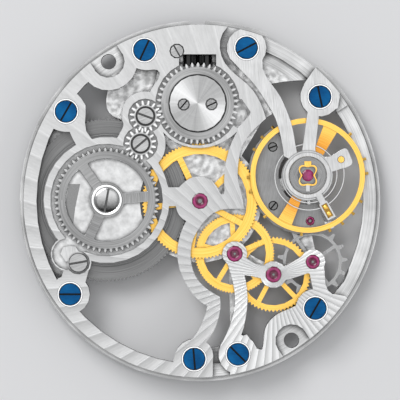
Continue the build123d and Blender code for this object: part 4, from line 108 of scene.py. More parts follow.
# Upright axes
CENTRE = axis("centre_spin")
THIRD = axis("third_spin")
FOURTH = axis("fourth_spin")
ESCAPE = axis("escape_spin")
PALLET = axis("fork_swing")
BALANCE = axis("balance_swing")
BARREL = axis("barrel_spin")
CROWN = axis("crown_wheel_spin")
FIRST_TRANSFER = axis("first_transfer_spin")
SECOND_TRANSFER = axis("second_transfer_spin")
CLICK = axis("click_swing")

# Levels above the dial side
BRIDGE_TOP = levels("main_bridge")[1]
TRAIN_TOP = levels("train_bridge")[1]
PALLET_TOP = levels("pallet_bridge")[1]
FLOOR_TOP = 0.75

# Blued screws: the pixel of each one's centre, and the angle of its slot in degrees
MAIN_LEVEL_SCREWS = (
    ((144.4, 50.0), 65), ((66.0, 111.4), 60), ((70.0, 294.3), 0), ((194.2, 359.0), -85),
    ((246.6, 47.8), 28), ((320.0, 96.7), -78))
TRAIN_LEVEL_SCREWS = (((238.0, 354.4), -45), ((315.4, 308.5), 60))
BLUED_HEAD = (0.80, 0.34)
BLUED_SHANK = 0.40
BLUED_PROUD = 0.03

# Small screws that stand on no axis of the frame
SETTING_LEVER_SCREW = photo(176.9, 51.0)
LEFT_CROWN_SCREW = photo(183.7, 104.5)
RIGHT_CROWN_SCREW = photo(211.5, 104.3)
UPPER_PALLET_SCREW = photo(273.0, 146.8)
LOWER_PALLET_SCREW = photo(273.5, 205.7)

# Screws: the chamfer of a head, its slot's width by the size of the head, and the slot's greatest depth
SCREW_CHAMFER = 0.04
BLUED_SLOT = (0.14, 0.13)
WIDE_SLOT = 0.16
NARROW_SLOT = 0.11
WIDE_HEAD = 0.6
SLOT_DEPTH = 0.09

# The polished countersink round a blued screw
SINK_INNER = 0.84
SINK_OUTER = 0.95
SINK_DEPTH = 0.06

# Jewels: the upper levels of the lower ones, their depths, their oil sinks, and the balance's stones
LOWER_JEWEL_TOP = 0.27
LOWER_PALLET_JEWEL_TOP = 0.23
TRAIN_JEWEL_DEPTH = 0.24
PALLET_JEWEL_DEPTH = 0.20
OIL_SINK = 0.09
BALANCE_STONE_RADIUS = 0.43
BALANCE_STONE_BORE = 0.07
BALANCE_STONE_DEPTH = 0.08

# The lyre springs: width and height of the wire, and the lower one's size against the upper one's
LYRE_WIRE = (0.12, 0.05)
LOWER_LYRE_SHARE = 0.76

# The upper lyre's hinge and catch: distance from the axis, length and width, and height over the block's
# face, in which both are rooted
LYRE_HINGE = (0.86, (0.50, 0.36), 0.07)
LYRE_CATCH = (0.96, (0.30, 0.46), 0.06)
LYRE_ROOT = 0.09

# The stud carrier and the regulator: their rings share one bore
RING_BORE = 1.40
STUD_RING_RADIUS = 1.83
REGULATOR_RING_RADIUS = 1.70
STUD = photo(341.1, 159.5)
STUD_HEAD_PIXELS = (
    (324.5, 156.9), (330.3, 156.4), (336.2, 152.6), (341.6, 149.2), (344.6, 148.2), (346.6, 148.8),
    (347.9, 150.6), (350.2, 155.6), (352.2, 160.6), (352.2, 163.0), (350.6, 165.4), (347.0, 167.2),
    (340.6, 169.0), (334.4, 171.0), (329.6, 172.6), (326.0, 166.0))

# The hairspring: its innermost radius, its turns, its blade, and the length it stops short of the stud's axis
SPRING_INNER = 0.61
SPRING_TURNS = 4
SPRING_BLADE = 0.06
SPRING_SHORT = 0.23

# The regulator's tail: its angle in degrees, the distance of its middle from the balance's axis, its length
# and width, those of its window and of the key in it, and the neck between tail and ring
TAIL_ANGLE = -61
TAIL_ORBIT = 2.97
TAIL_SIZE = (1.40, 0.70)
TAIL_WINDOW = (1.06, 0.42)
KEY_SIZE = (1.04, 0.40)
KEY_PIN_SPACING = 0.54
NECK_ORBIT = 1.98
NECK_SIZE = (0.68, 0.46)

# Sections in one turn of a fine round, and of a spring
FINE_STEPS = 96

# Edges of the drawn pieces look sharp from this angle on, in degrees
SHARP_ANGLE = 28


# Materials

class Graph:
    """A node material, built one node at a time. Numbers and sockets are passed alike."""

    def __init__(self, name):
        self.material = bpy.data.materials.new(name)
        self.material.use_nodes = True
        self.tree = self.material.node_tree
        self.tree.nodes.clear()

    def put(self, value, socket):
        if isinstance(value, bpy.types.NodeSocket):
            self.tree.links.new(value, socket)
        else:
            socket.default_value = value

    def add(self, kind, inputs=(), **settings):
        """A shader node with its settings and inputs; an input that is None keeps its default."""
        node = self.tree.nodes.new("ShaderNode" + kind)
        for key, value in settings.items():
            setattr(node, key, value)
        pairs = inputs.items() if isinstance(inputs, dict) else enumerate(inputs)
        for key, value in pairs:
            if value is not None:
                self.put(value, node.inputs[key])
        return node

    def reckon(self, operation, a, b=None, clamp=False):
        return self.add("Math", (a, b), operation=operation, use_clamp=clamp).outputs[0]

    def plus(self, a, b):
        return self.reckon("ADD", a, b)

    def minus(self, a, b):
        return self.reckon("SUBTRACT", a, b)

    def times(self, a, b):
        return self.reckon("MULTIPLY", a, b)

    def place(self):
        """The node's own coordinates, in millimetres."""
        coordinates = self.add("TexCoord").outputs["Object"]
        return self.add("VectorMath", {0: coordinates, 3: 1 / MM}, operation="SCALE").outputs[0]

    def xyz(self, vector):
        return self.add("SeparateXYZ", (vector,)).outputs

    def join(self, x, y, z):
        return self.add("CombineXYZ", (x, y, z)).outputs[0]

    def noise(self, vector, scale, detail=2.0, roughness=0.5):
        inputs = {"Vector": vector, "Scale": scale, "Detail": detail, "Roughness": roughness}
        return self.add("TexNoise", inputs).outputs[0]

    def spread(self, value, low, high, out_low=0.0, out_high=1.0):
        """Maps low..high to out_low..out_high, held at the ends."""
        return self.add("MapRange", (value, low, high, out_low, out_high), clamp=True).outputs[0]

    def blend(self, factor, first, second, kind="MIX"):
        """A colour between the first and the second."""
        inputs = {0: factor, 6: first, 7: second}
        return self.add("Mix", inputs, data_type="RGBA", blend_type=kind).outputs[2]

    def choose(self, factor, first, second):
        """A number between the first and the second."""
        return self.add("Mix", (factor, None, first, second), data_type="FLOAT").outputs[0]

    def shade(self, colour, factor):
        """The colour times the factor."""
        even = self.add("CombineColor", (factor, factor, factor)).outputs[0]
        return self.blend(1.0, colour, even, "MULTIPLY")

    def polar(self, vector, centre):
        """Angle in turns, radius and height about an upright axis."""
        parts = self.xyz(vector)
        x = self.minus(parts[0], centre[0])
        y = self.minus(parts[1], centre[1])
        angle = self.reckon("DIVIDE", self.reckon("ARCTAN2", y, x), 2 * math.pi)
        radius = self.reckon("SQRT", self.plus(self.times(x, x), self.times(y, y)))
        return angle, radius, parts[2]

    def facing_up(self):
        """1 on faces that look straight up, 0 on walls."""
        normal = self.xyz(self.add("NewGeometry").outputs["True Normal"])[2]
        return self.spread(normal, 0.90, 0.99)

    def painted_corner_shade(self, reach, darkest):
        """Painted shade: 1 in the open, down to darkest in corners and gaps, where shadow gathers."""
        node = self.add("AmbientOcclusion", {"Distance": reach * MM}, samples=8)
        return self.spread(node.outputs["AO"], 0.42, 0.86, darkest, 1.0)

    def turning_grain(self, angle, radius, height, rings):
        """Fine grain that runs round an axis."""
        return self.noise(self.join(self.times(angle, 7.0), self.times(radius, rings), height), 1.0, 3.0, 0.6)

    def finish(self, colour, metallic, roughness, height=None, **rest):
        """Ends the material in a principled shader; height is in millimetres."""
        values = {"Base Color": colour, "Metallic": metallic, "Roughness": roughness}
        shader = self.add("BsdfPrincipled", {**values, **rest})
        if height is not None:
            raised = self.add("Bump", {"Strength": 1.0, "Distance": MM, "Height": height})
            self.put(raised.outputs[0], shader.inputs["Normal"])
        self.add("OutputMaterial", (shader.outputs[0],))
        return self.material


def grey(value):
    return (value, value, value, 1.0)


def striped_plate(name, top_level, strength=1.0, middle=0.50):
    """Plated metal: stripes radiate over the top, and all that lies lower is satin."""
    g = Graph(name)
    place = g.place()
    angle, radius, height = g.polar(place, FOURTH)
    stripe_count = 72
    turn = g.reckon("FRACT", g.plus(g.times(angle, stripe_count), 0.35))
    edge = g.spread(turn, 0.0, 0.14, 1.0, 0.0)
    ramp = g.spread(turn, 0.14, 1.0, 0.0, 0.42)
    stripe = g.plus(edge, ramp)
    grain = g.noise(g.join(g.times(angle, 900), g.times(radius, 1.3), height), 1.0, 3.0, 0.6)
    # Painted sheen: the stripes are drawn strong on the low side of the movement, where they catch the light,
    # and faint on the top
    painted_side_sheen = g.spread(g.xyz(place)[1], -9.0, 8.0, 1.0, 0.22)
    shown = g.times(g.minus(stripe, 0.32), g.times(painted_side_sheen, strength))
    fine = g.times(g.minus(grain, 0.5), 0.30)
    tone = g.reckon("ADD", g.plus(g.times(shown, 0.62), fine), middle, clamp=True)
    top = g.blend(tone, grey(0.17), grey(0.86))
    cloud = g.noise(place, 1.6, 3.0, 0.6)
    lower = g.blend(g.spread(cloud, 0.3, 0.7), grey(0.44), grey(0.66))
    up = g.facing_up()
    on_top = g.times(up, g.spread(height, top_level - 0.09, top_level - 0.07))
    # Painted shade: walls are drawn darker than the faces, and corners and gaps are darkened
    walls = g.choose(up, 0.35, 1.0)
    colour = g.shade(g.blend(on_top, lower, top), g.times(walls, g.painted_corner_shade(0.35, 0.38)))
    ridges = g.plus(g.times(g.times(stripe, painted_side_sheen), 0.018), g.times(grain, 0.012))
    relief = g.choose(on_top, g.times(cloud, 0.03), ridges)
    return g.finish(colour, 0.92, g.spread(grain, 0.3, 0.7, 0.28, 0.40), relief)


def main_plate_metal(name):
    """The plate: a satin rim with grain that runs round it, and softly dappled floors inside."""
    g = Graph(name)
    place = g.place()
    angle, radius, height = g.polar(place, CENTRE)
    lines = g.noise(g.join(g.times(angle, 9.0), g.times(radius, 16.0), height), 1.0, 3.0, 0.6)
    cloud = g.noise(place, 0.55, 2.0, 0.5)
    satin = g.plus(g.times(lines, 0.55), g.times(cloud, 0.45))
    rim = g.blend(g.spread(satin, 0.36, 0.62), grey(0.34), grey(0.66))
    dents = g.noise(place, 2.4, 1.0, 0.4)
    fleck = g.noise(place, 11.0, 2.0, 0.5)
    dapple = g.plus(g.times(dents, 0.8), g.times(fleck, 0.2))
    floor_tone = g.blend(g.spread(dapple, 0.36, 0.64), grey(0.36), grey(0.74))
    rim_start = 11.2
    on_rim = g.spread(radius, rim_start, rim_start + 0.15)
    # Painted shade: walls are drawn darker than the faces, and corners and gaps are darkened
    walls = g.choose(g.facing_up(), 0.35, 1.0)
    colour = g.shade(g.blend(on_rim, floor_tone, rim), g.times(walls, g.painted_corner_shade(0.6, 0.12)))
    relief = g.choose(on_rim, g.times(dapple, 0.045), g.times(lines, 0.008))
    return g.finish(colour, 0.92, g.choose(on_rim, 0.34, 0.32), relief)


def brushed(name, low, high, angle, rough=0.32, scale=26.0):
    """Straight-grained metal; the grain runs at the given angle in plan, in degrees."""
    g = Graph(name)
    place = g.place()
    inputs = {"Vector": place, "Angle": -math.radians(angle)}
    parts = g.xyz(g.add("VectorRotate", inputs, rotation_type="Z_AXIS").outputs[0])
    lines = g.noise(g.join(g.times(parts[0], 0.9), g.times(parts[1], scale), parts[2]), 1.0, 3.0, 0.6)
    cloud = g.noise(place, 0.9, 2.0, 0.5)
    tone = g.spread(g.plus(g.times(lines, 0.7), g.times(cloud, 0.3)), 0.34, 0.66)
    # Painted shade: walls are drawn darker than the faces, and corners and gaps are darkened
    walls = g.choose(g.facing_up(), 0.4, 1.0)
    colour = g.shade(g.blend(tone, grey(low), grey(high)), g.times(walls, g.painted_corner_shade(0.4, 0.2)))
    return g.finish(colour, 0.95, g.spread(lines, 0.3, 0.7, rough, rough + 0.1), g.times(lines, 0.006))


def turned(name, centre, low, high, rough=0.32):
    """Grey metal with circular grain about an axis."""
    g = Graph(name)
    grain = g.turning_grain(*g.polar(g.place(), centre), 30.0)
    # Painted shade: corners and gaps are darkened
    colour = g.shade(g.blend(g.spread(grain, 0.32, 0.68), grey(low), grey(high)), g.painted_corner_shade(0.3, 0.35))
    return g.finish(colour, 1.0, g.spread(grain, 0.3, 0.7, rough - 0.05, rough + 0.06), g.times(grain, 0.005))


def sunray(name, centre, low, high, lobe):
    """A faced cap with turned grain, and a painted sheen of two broad bright lobes across it, one at the
    given turn.
    """
    g = Graph(name)
    angle, radius, height = g.polar(g.place(), centre)
    rays = g.noise(g.join(g.times(angle, 46.0), g.times(radius, 0.2), 0.0), 1.0, 2.0, 0.5)
    rings = g.noise(g.join(g.times(angle, 5.0), g.times(radius, 34.0), height), 1.0, 2.0, 0.5)
    # Painted sheen: two broad bright lobes, set by angle about the axis
    swing = g.reckon("COSINE", g.times(g.minus(angle, lobe), 4 * math.pi))
    lobes = g.reckon("POWER", g.plus(g.times(swing, 0.5), 0.5), 2.2)
    broad = g.plus(g.times(lobes, 0.72), 0.16)
    tone = g.plus(g.plus(broad, g.times(g.minus(rays, 0.5), 0.5)), g.times(g.minus(rings, 0.5), 0.25))
    # Painted shade: corners and gaps are darkened
    colour = g.shade(g.blend(g.spread(tone, 0.0, 1.0), grey(low), grey(high)), g.painted_corner_shade(0.2, 0.25))
    return g.finish(colour, 1.0, 0.30, g.times(rings, 0.004))


def toothed_metal(name, node, teeth, cut, low, high, hub=0.0, depth=0.5):
    """Steel wheel: dark painted shade between the teeth, and a painted highlight on their crests, run in over
    its face to the given share of its radius.
    A dark ring of painted shadow rings whatever is seated in the wheel at the hub radius."""
    g = Graph(name)
    centre, tip, phase = tooth_places(node, teeth)
    angle, radius, height = g.polar(g.place(), centre)
    turn = g.reckon("FRACT", g.minus(g.times(angle, teeth), phase))
    gap = g.reckon("ABSOLUTE", g.minus(turn, 0.5))
    at_teeth = g.spread(radius, tip * cut, tip * cut + 0.08)
    # Painted shade in the gaps between the teeth, and a painted highlight on their crests
    painted_gap_shade = g.times(g.spread(gap, 0.10, 0.22, 1.0, 0.0), at_teeth)
    painted_crest_highlight = g.times(g.spread(gap, 0.34, 0.46), at_teeth)
    # Painted shadow: a near-black ring at the hub radius, where the seated part meets the wheel
    ring = g.spread(g.reckon("ABSOLUTE", g.minus(radius, hub)), 0.05, 0.09, 1.0, 0.0)
    grain = g.turning_grain(angle, radius, height, 26.0)
    # Painted sheen: two broad bright lobes, set by angle about the axis
    swing = g.reckon("COSINE", g.times(g.minus(angle, 0.40), 4 * math.pi))
    tone = g.plus(g.spread(grain, 0.32, 0.68), g.times(swing, 0.22))
    body = g.blend(g.spread(tone, 0.0, 1.0), grey(low), grey(high))
    body = g.blend(painted_crest_highlight, body, grey(min(1.0, high * 1.5)))
    # depth sets how dark the painted gap shade is
    body = g.blend(g.times(painted_gap_shade, depth), body, grey(0.05))
    body = g.blend(g.times(ring, 0.9), body, grey(0.02))
    relief = g.plus(g.times(painted_gap_shade, -0.05), g.times(grain, 0.004))
    # Painted shade: corners and gaps are darkened
    return g.finish(g.shade(body, g.painted_corner_shade(0.25, 0.3)), 1.0, 0.3, relief)


def transfer_metal(name, node):
    """The look that both small winding wheels share."""
    return toothed_metal(name, node, 15, 0.70, 0.32, 0.54, hub=0.68, depth=0.25)


def polished(name, colour, rough=0.16, wear=0.12, reach=0.2):
    """Bright metal with faint polishing marks."""
    g = Graph(name)
    marks = g.noise(g.place(), 9.0, 4.0, 0.65)
    worn = tuple(part * (1 - wear) for part in colour[:3]) + (1.0,)
    # Painted shade: corners and gaps are darkened within the reach
    mixed = g.shade(g.blend(g.spread(marks, 0.35, 0.65), worn, colour), g.painted_corner_shade(reach, 0.35))
    return g.finish(mixed, 1.0, g.spread(marks, 0.3, 0.7, rough * 0.7, rough * 1.4), g.times(marks, 0.003))


def gilt(name, centre, arms=0.0):
    """Gilt brass with circular grain; within the radius of its arms it is redder."""
    g = Graph(name)
    angle, radius, height = g.polar(g.place(), centre)
    grain = g.turning_grain(angle, radius, height, 24.0)
    fine = g.spread(grain, 0.32, 0.68)
    yellow = g.blend(fine, (0.78, 0.43, 0.07, 1.0), (1.0, 0.65, 0.17, 1.0))
    red = g.blend(fine, (0.60, 0.24, 0.03, 1.0), (0.84, 0.40, 0.08, 1.0))
    mixed = g.blend(g.spread(radius, arms - 1.1, arms + 0.15), red, yellow)
    # Painted shade: walls are drawn darker than the faces, and corners and gaps are darkened
    walls = g.choose(g.facing_up(), 0.8, 1.0)
    colour = g.shade(mixed, g.times(walls, g.painted_corner_shade(0.3, 0.45)))
    return g.finish(colour, 1.0, g.spread(grain, 0.3, 0.7, 0.26, 0.36), g.times(grain, 0.005))


def blued(name):
    """Heat-blued steel, a little uneven where the heat ran."""
    g = Graph(name)
    place = g.place()
    heat = g.noise(place, 0.7, 2.0, 0.5)
    stretched = g.add("Mapping", {"Vector": place, "Scale": (2.0, 40.0, 2.0)}).outputs[0]
    lines = g.noise(stretched, 1.0, 2.0, 0.6)
    tone = g.spread(g.plus(g.times(heat, 0.6), g.times(lines, 0.4)), 0.35, 0.65)
    colour = g.blend(tone, (0.001, 0.038, 0.125, 1.0), (0.005, 0.105, 0.275, 1.0))
    return g.finish(colour, 0.9, 0.24, g.times(lines, 0.003))


def dome_painted_reflection(name, centre, radius):
    """A black-polished dome with a painted reflection: bright on its upper side in plan, and near black on
    its lower side.
    """
    g = Graph(name)
    place = g.place()
    marks = g.noise(place, 7.0, 3.0, 0.6)
    wave = g.times(g.minus(marks, 0.5), 0.5 * radius)
    # Painted reflection: lighter towards the upper side in plan, waved by the polishing marks
    height = g.plus(g.minus(g.xyz(place)[1], centre[1]), wave)
    tone = g.spread(height, -0.75 * radius, 0.45 * radius)
    # Painted shade: corners and gaps are darkened
    colour = g.shade(g.blend(tone, grey(0.035), grey(0.50)), g.painted_corner_shade(0.1, 0.4))
    return g.finish(colour, 1.0, 0.16, g.times(marks, 0.002))


def ruby(name, low, high):
    """Clouded synthetic ruby."""
    g = Graph(name)
    cloud = g.noise(g.place(), 3.0, 2.0, 0.5)
    colour = g.blend(g.spread(cloud, 0.3, 0.7), low, high)
    return g.finish(colour, 0.0, 0.07, g.times(cloud, 0.002), IOR=1.6)


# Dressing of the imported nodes

def centre_of(node):
    """The middle of a node's box in plan."""
    low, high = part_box(node)
    return (low[0] + high[0]) / 2 / MM, (low[1] + high[1]) / 2 / MM


def tooth_places(node, teeth):
    """Axis, tip radius and the phase of the tooth tips, in pitches, read from the node's own corners."""
    centre = centre_of(node)
    corners = [v.co / MM for v in frame["nodes"][node].data.vertices]
    plan = [(v.x - centre[0], v.y - centre[1]) for v in corners]
    tip = max(math.hypot(x, y) for x, y in plan)
    tips = [math.atan2(y, x) for x, y in plan if math.hypot(x, y) > 0.995 * tip]
    sine = sum(math.sin(teeth * a) for a in tips)
    cosine = sum(math.cos(teeth * a) for a in tips)
    return centre, tip, math.atan2(sine, cosine) / (2 * math.pi)


STRIPED = striped_plate("striped_plate", BRIDGE_TOP)
STRIPED_TRAIN = striped_plate("striped_train_bridge", TRAIN_TOP, strength=1.9, middle=0.72)
EDGE = polished("polished_edge", grey(0.84), 0.14, 0.06, 0.05)
RING = polished("polished_ring", grey(0.90), 0.16, 0.06, 0.05)
# Dark steel as painted shade: the outline along the walls and outer bevels of the countersinks and the
# ratchet collar
SHADE_LINE = polished("painted_shade_line", grey(0.16), 0.3)
SATIN = brushed("satin_bridge", 0.42, 0.66, angle=95, scale=22.0)
DARK = brushed("dark_bridge", 0.20, 0.31, angle=80, rough=0.36)
BLUE = blued("blued_steel")
RUBY = ruby("ruby", (0.27, 0.002, 0.085, 1.0), (0.46, 0.008, 0.18, 1.0))
# A darker copy of the ruby: painted shade on the sinks, walls and undersides of the jewels
RUBY_SHADED = ruby("ruby_painted_shade", (0.10, 0.001, 0.025, 1.0), (0.18, 0.002, 0.06, 1.0))
# Painted shade: near-black floors and walls of the screw slots, and dark grey ones for the grey screws
SLOT = polished("slot_floor", grey(0.03), 0.3)
GREY_SLOT = polished("grey_slot_floor", grey(0.12), 0.3)
STEEL = polished("polished_steel", grey(0.60), 0.18)
DEEP_STEEL = polished("shaded_steel", grey(0.16), 0.22)
SCREW = brushed("screw_steel", 0.26, 0.50, angle=20, scale=30.0)
DOME = dome_painted_reflection("dome_painted_reflection", BARREL, 0.9)
CROWN_SCREW = polished("crown_screw_steel", grey(0.34), 0.14, 0.45)
BARREL_STEEL = turned("barrel_steel", BARREL, 0.11, 0.24, 0.34)
SPRING = polished("spring_steel", grey(0.22), 0.22)
HAIRSPRING = polished("hairspring_steel", grey(0.55), 0.2)
ARBOR = polished("arbor_steel", grey(0.20), 0.2)
# Near-black steel for the winding pinion: painted shade for the shadow it lies in
PINION_SHADE_STEEL = polished("pinion_painted_shade", grey(0.035), 0.25)
GILT = gilt("gilt_small_parts", CENTRE)
DARK_GILT = polished("dark_gilt", (0.42, 0.24, 0.05, 1.0), 0.3, 0.5)

LOOKS = {
    "main_plate": main_plate_metal("satin_plate"),
    "main_bridge": STRIPED,
    "train_bridge": STRIPED_TRAIN,
    "balance_bridge": SATIN,
    "pallet_bridge": DARK,
    "barrel_drum": BARREL_STEEL,
    "barrel_cover": BARREL_STEEL,
    "barrel_arbor": STEEL,
    "mainspring": SPRING,
    "ratchet_wheel": toothed_metal("ratchet_steel", "ratchet_wheel", 55, 0.91, 0.18, 0.33),
    "click": SATIN,
    "click_spring": SPRING,
    "crown_wheel": toothed_metal("crown_steel", "crown_wheel", 42, 0.88, 0.20, 0.40, hub=2.10),
    "crown_core": sunray("sunray_cap", CROWN, 0.27, 0.70, 0.41),
    "first_transfer_wheel": transfer_metal("first_transfer_steel", "first_transfer_wheel"),
    "second_transfer_wheel": transfer_metal("second_transfer_steel", "second_transfer_wheel"),
    "winding_pinion": PINION_SHADE_STEEL,
    "clutch": SCREW,
    "yoke": SATIN,
    "yoke_spring": SPRING,
    "setting_lever": SATIN,
    "setting_wheel": turned("setting_steel", centre_of("setting_wheel"), 0.30, 0.55),
    "intermediate_setting_wheel": turned(
        "intermediate_steel", centre_of("intermediate_setting_wheel"), 0.30, 0.55),
    "centre_wheel": gilt("gilt_centre_wheel", CENTRE),
    "third_wheel": gilt("gilt_third_wheel", THIRD),
    "fourth_wheel": gilt("gilt_fourth_wheel", FOURTH),
    "escape_wheel": turned("escape_steel", ESCAPE, 0.22, 0.40, 0.28),
    "centre_arbor": ARBOR,
    "third_arbor": ARBOR,
    "fourth_arbor": ARBOR,
    "escape_arbor": ARBOR,
    "pallet_fork": STEEL,
    "pallet_arbor": ARBOR,
    "pallet_stones": RUBY,
    "balance_wheel": gilt("gilt_balance", BALANCE, arms=3.62),
    "balance_screws": GILT,
    "balance_staff": ARBOR,
    "roller": GILT,
    "impulse_pin": RUBY,
    "collet": GILT,
    "stud": GILT,
    "curb_pins": GILT,
    "shock_blocks": turned("shock_steel", BALANCE, 0.16, 0.30, 0.24),
    "cannon_pinion": STEEL,
    "hour_wheel": gilt("gilt_hour_wheel", CENTRE),
    "minute_wheel": GILT,
}
for name, look in LOOKS.items():
    materials = frame["nodes"][name].data.materials
    materials.clear()
    materials.append(look)


def bevel(obj, width, angle, segments, skin):
    """Rounds the edges of an object that are sharper than the angle, in the given skin."""
    edge = obj.modifiers.new("edge", "BEVEL")
    edge.width = width * MM
    edge.segments = segments
    edge.limit_method = "ANGLE"
    edge.angle_limit = math.radians(angle)
    edge.material = skin


def chamfer(obj, width):
    """A bright chamfer along the sharp edges, by modifiers only; the mesh is left as it is."""
    weld = obj.modifiers.new("weld", "WELD")
    weld.merge_threshold = 1e-7
    flat = obj.modifiers.new("flat", "DECIMATE")
    flat.decimate_type = "DISSOLVE"
    flat.angle_limit = math.radians(1.0)
    obj.data.materials.append(EDGE)
    bevel(obj, width, angle=35, segments=1, skin=len(obj.data.materials) - 1)


CHAMFERS = {
    "main_bridge": 0.07, "train_bridge": 0.06, "balance_bridge": 0.06, "main_plate": 0.05,
    "pallet_bridge": 0.03, "ratchet_wheel": 0.02,
}
for name, width in CHAMFERS.items():
    chamfer(frame["nodes"][name], width)


# Forms in mesh code

def add_turned(bm, centre, profile, steps=48):
    """A closed form turned about an upright axis. The profile is (radius, height, skin) all the way round."""
    rings = []
    for radius, height, _ in profile:
        count = steps if radius > 0 else 1
        ring = []
        for i in range(count):
            angle = 2 * math.pi * i / count
            x, y = centre[0] + radius * math.cos(angle), centre[1] + radius * math.sin(angle)
            ring.append(bm.verts.new((x * MM, y * MM, height * MM)))
        rings.append(ring)
    hollow = profile[0][0] > 0
    for k in range(len(rings) if hollow else len(rings) - 1):
        first, second = rings[k], rings[(k + 1) % len(rings)]
        for i in range(steps):
            corners = [first[i % len(first)], first[(i + 1) % len(first)],
                       second[(i + 1) % len(second)], second[i % len(second)]]
            face = bm.faces.new(list(dict.fromkeys(corners)))
            face.material_index = profile[k][2]
            face.smooth = True


def add_plate(bm, outline, low, high, skin=0):
    """A flat plate with an outline in plan."""
    bottom = [bm.verts.new((x * MM, y * MM, low * MM)) for x, y in outline]
    top = [bm.verts.new((x * MM, y * MM, high * MM)) for x, y in outline]
    faces = [bm.faces.new(bottom[::-1]), bm.faces.new(top)]
    for i in range(len(outline)):
        j = (i + 1) % len(outline)
        faces.append(bm.faces.new((bottom[i], bottom[j], top[j], top[i])))
    for face in faces:
        face.material_index = skin


def add_bar(bm, centre, size, low, high, angle=0, skin=0):
    """A box of a length and a width that lies across the centre at an angle in plan."""
    along = Vector((math.cos(math.radians(angle)), math.sin(math.radians(angle)))) * size[0] / 2
    across = Vector((-along.y, along.x)).normalized() * size[1] / 2
    near = Vector(centre) - across
    far = Vector(centre) + across
    add_plate(bm, (near - along, near + along, far + along, far - along), low, high, skin)


def add_blade(bm, centre, line, width, low, high, closed=False, smooth=True):
    """A flat blade along a line of (angle, radius) about the centre, closed on itself or with two ends."""
    sections = []
    for angle, radius in line:
        section = []
        for side, height in ((-1, low), (1, low), (1, high), (-1, high)):
            reach = radius + side * width / 2
            x, y = centre[0] + reach * math.cos(angle), centre[1] + reach * math.sin(angle)
            section.append(bm.verts.new((x * MM, y * MM, height * MM)))
        sections.append(section)
    following = sections[1:] + sections[:1] if closed else sections[1:]
    for first, second in zip(sections, following):
        for k in range(4):
            face = bm.faces.new((first[k], first[(k + 1) % 4], second[(k + 1) % 4], second[k]))
            face.smooth = smooth
    if not closed:
        bm.faces.new(sections[0])
        bm.faces.new(sections[-1][::-1])


def dome_points(radius, rise, first):
    """The (radius, height) points of a dome, every 15 degrees from the first one up, without its crown."""
    angles = [math.radians(15 * i) for i in range(first, 6)]
    return [(radius * math.cos(a), rise * math.sin(a)) for a in angles]


def ring_profile(bore, radius, low, high, drop):
    """A ring whose upper rims are broken by 0.03 in plan and by the drop in height."""
    return ((bore, low, 0), (radius, low, 0), (radius, high - drop, 1), (radius - 0.03, high, 0),
            (bore + 0.03, high, 1), (bore, high - drop, 0))


def linked(name, bm, materials):
    """The finished mesh as an object in the scene."""
    bmesh.ops.recalc_face_normals(bm, faces=bm.faces)
    mesh = bpy.data.meshes.new(name)
    bm.to_mesh(mesh)
    bm.free()
    obj = bpy.data.objects.new(name, mesh)
    bpy.context.scene.collection.objects.link(obj)
    for material in materials:
        mesh.materials.append(material)
    mesh.set_sharp_from_angle(angle=math.radians(SHARP_ANGLE))
    return obj


def made(name, bm, body, slot, materials, *replaced):
    """A piece that rides on a body, and stands for the nodes that it replaces."""
    obj = linked(name, bm, materials)
    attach(obj, body)
    if replaced:
        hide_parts(*replaced)
    return obj


def cut_away(obj, bm):
    """Takes the forms in bm out of the object; their walls keep their own skin."""
    cutter = linked("cutter", bm, obj.data.materials)
    modifier = obj.modifiers.new("slots", "BOOLEAN")
    modifier.object = cutter
    modifier.solver = "EXACT"
    bpy.context.view_layer.update()
    graph = bpy.context.evaluated_depsgraph_get()
    mesh = bpy.data.meshes.new_from_object(obj.evaluated_get(graph))
    obj.modifiers.clear()
    obj.data = mesh
    mesh.set_sharp_from_angle(angle=math.radians(SHARP_ANGLE))
    bpy.data.objects.remove(cutter)


# Screws

def slotted_screws(node, places, head, shank, slot_size, finish, skins, dome=0.0):
    """A node's screws, turned and slotted, as one piece. Each place is (centre, top, bottom, slot angle),
    and the head is (radius, height)."""
    radius, height = head
    slot_width, slot_depth = slot_size
    bm = bmesh.new()
    slots = bmesh.new()
    for centre, top, bottom, angle in places:
        profile = [(0, bottom, 0), (shank, bottom, 0), (shank, top - height, 0), (radius, top - height, 0),
                   (radius, top - dome - SCREW_CHAMFER, 0)]
        if dome:
            profile += [(reach, top - dome + rise, 0) for reach, rise in dome_points(radius, dome, 1)]
        else:
            profile.append((radius - SCREW_CHAMFER, top, 0))
        add_turned(bm, centre, profile + [(0, top, 0)])
        add_bar(slots, centre, (3 * radius, slot_width), top - slot_depth, top + 0.2, angle, skin=1)
    obj = made(node + "_round", bm, body_of(node), finish, skins, node)
    cut_away(obj, slots)


def blued_places():
    """Centre, face level and slot angle of every blued screw."""
    tables = ((MAIN_LEVEL_SCREWS, BRIDGE_TOP), (TRAIN_LEVEL_SCREWS, TRAIN_TOP))
    return [(photo(*pixel), face, angle) for table, face in tables for pixel, angle in table]


def bridge_screws():
    low = levels("bridge_screws")[0]
    places = [(centre, face + BLUED_PROUD, low, angle) for centre, face, angle in blued_places()]
    slotted_screws("bridge_screws", places, BLUED_HEAD, BLUED_SHANK, BLUED_SLOT, "blued_steel", (BLUE, SLOT))


def screw_sinks():
    """The polished countersinks that ring the blued screws."""
    bm = bmesh.new()
    for centre, face, _ in blued_places():
        floor_level = face - SINK_DEPTH
        # The outer wall and bevel take the dark steel, a painted shade line round the sink
        ring = ((SINK_INNER, floor_level, 0), (SINK_OUTER, floor_level, 1), (SINK_OUTER, face + 0.004, 1),
                (0.915, face + 0.010, 0), (0.85, face + 0.012, 0))
        add_turned(bm, centre, ring, 64)
    made("screw_sinks", bm, "frame", "plated_brass", (RING, SHADE_LINE))


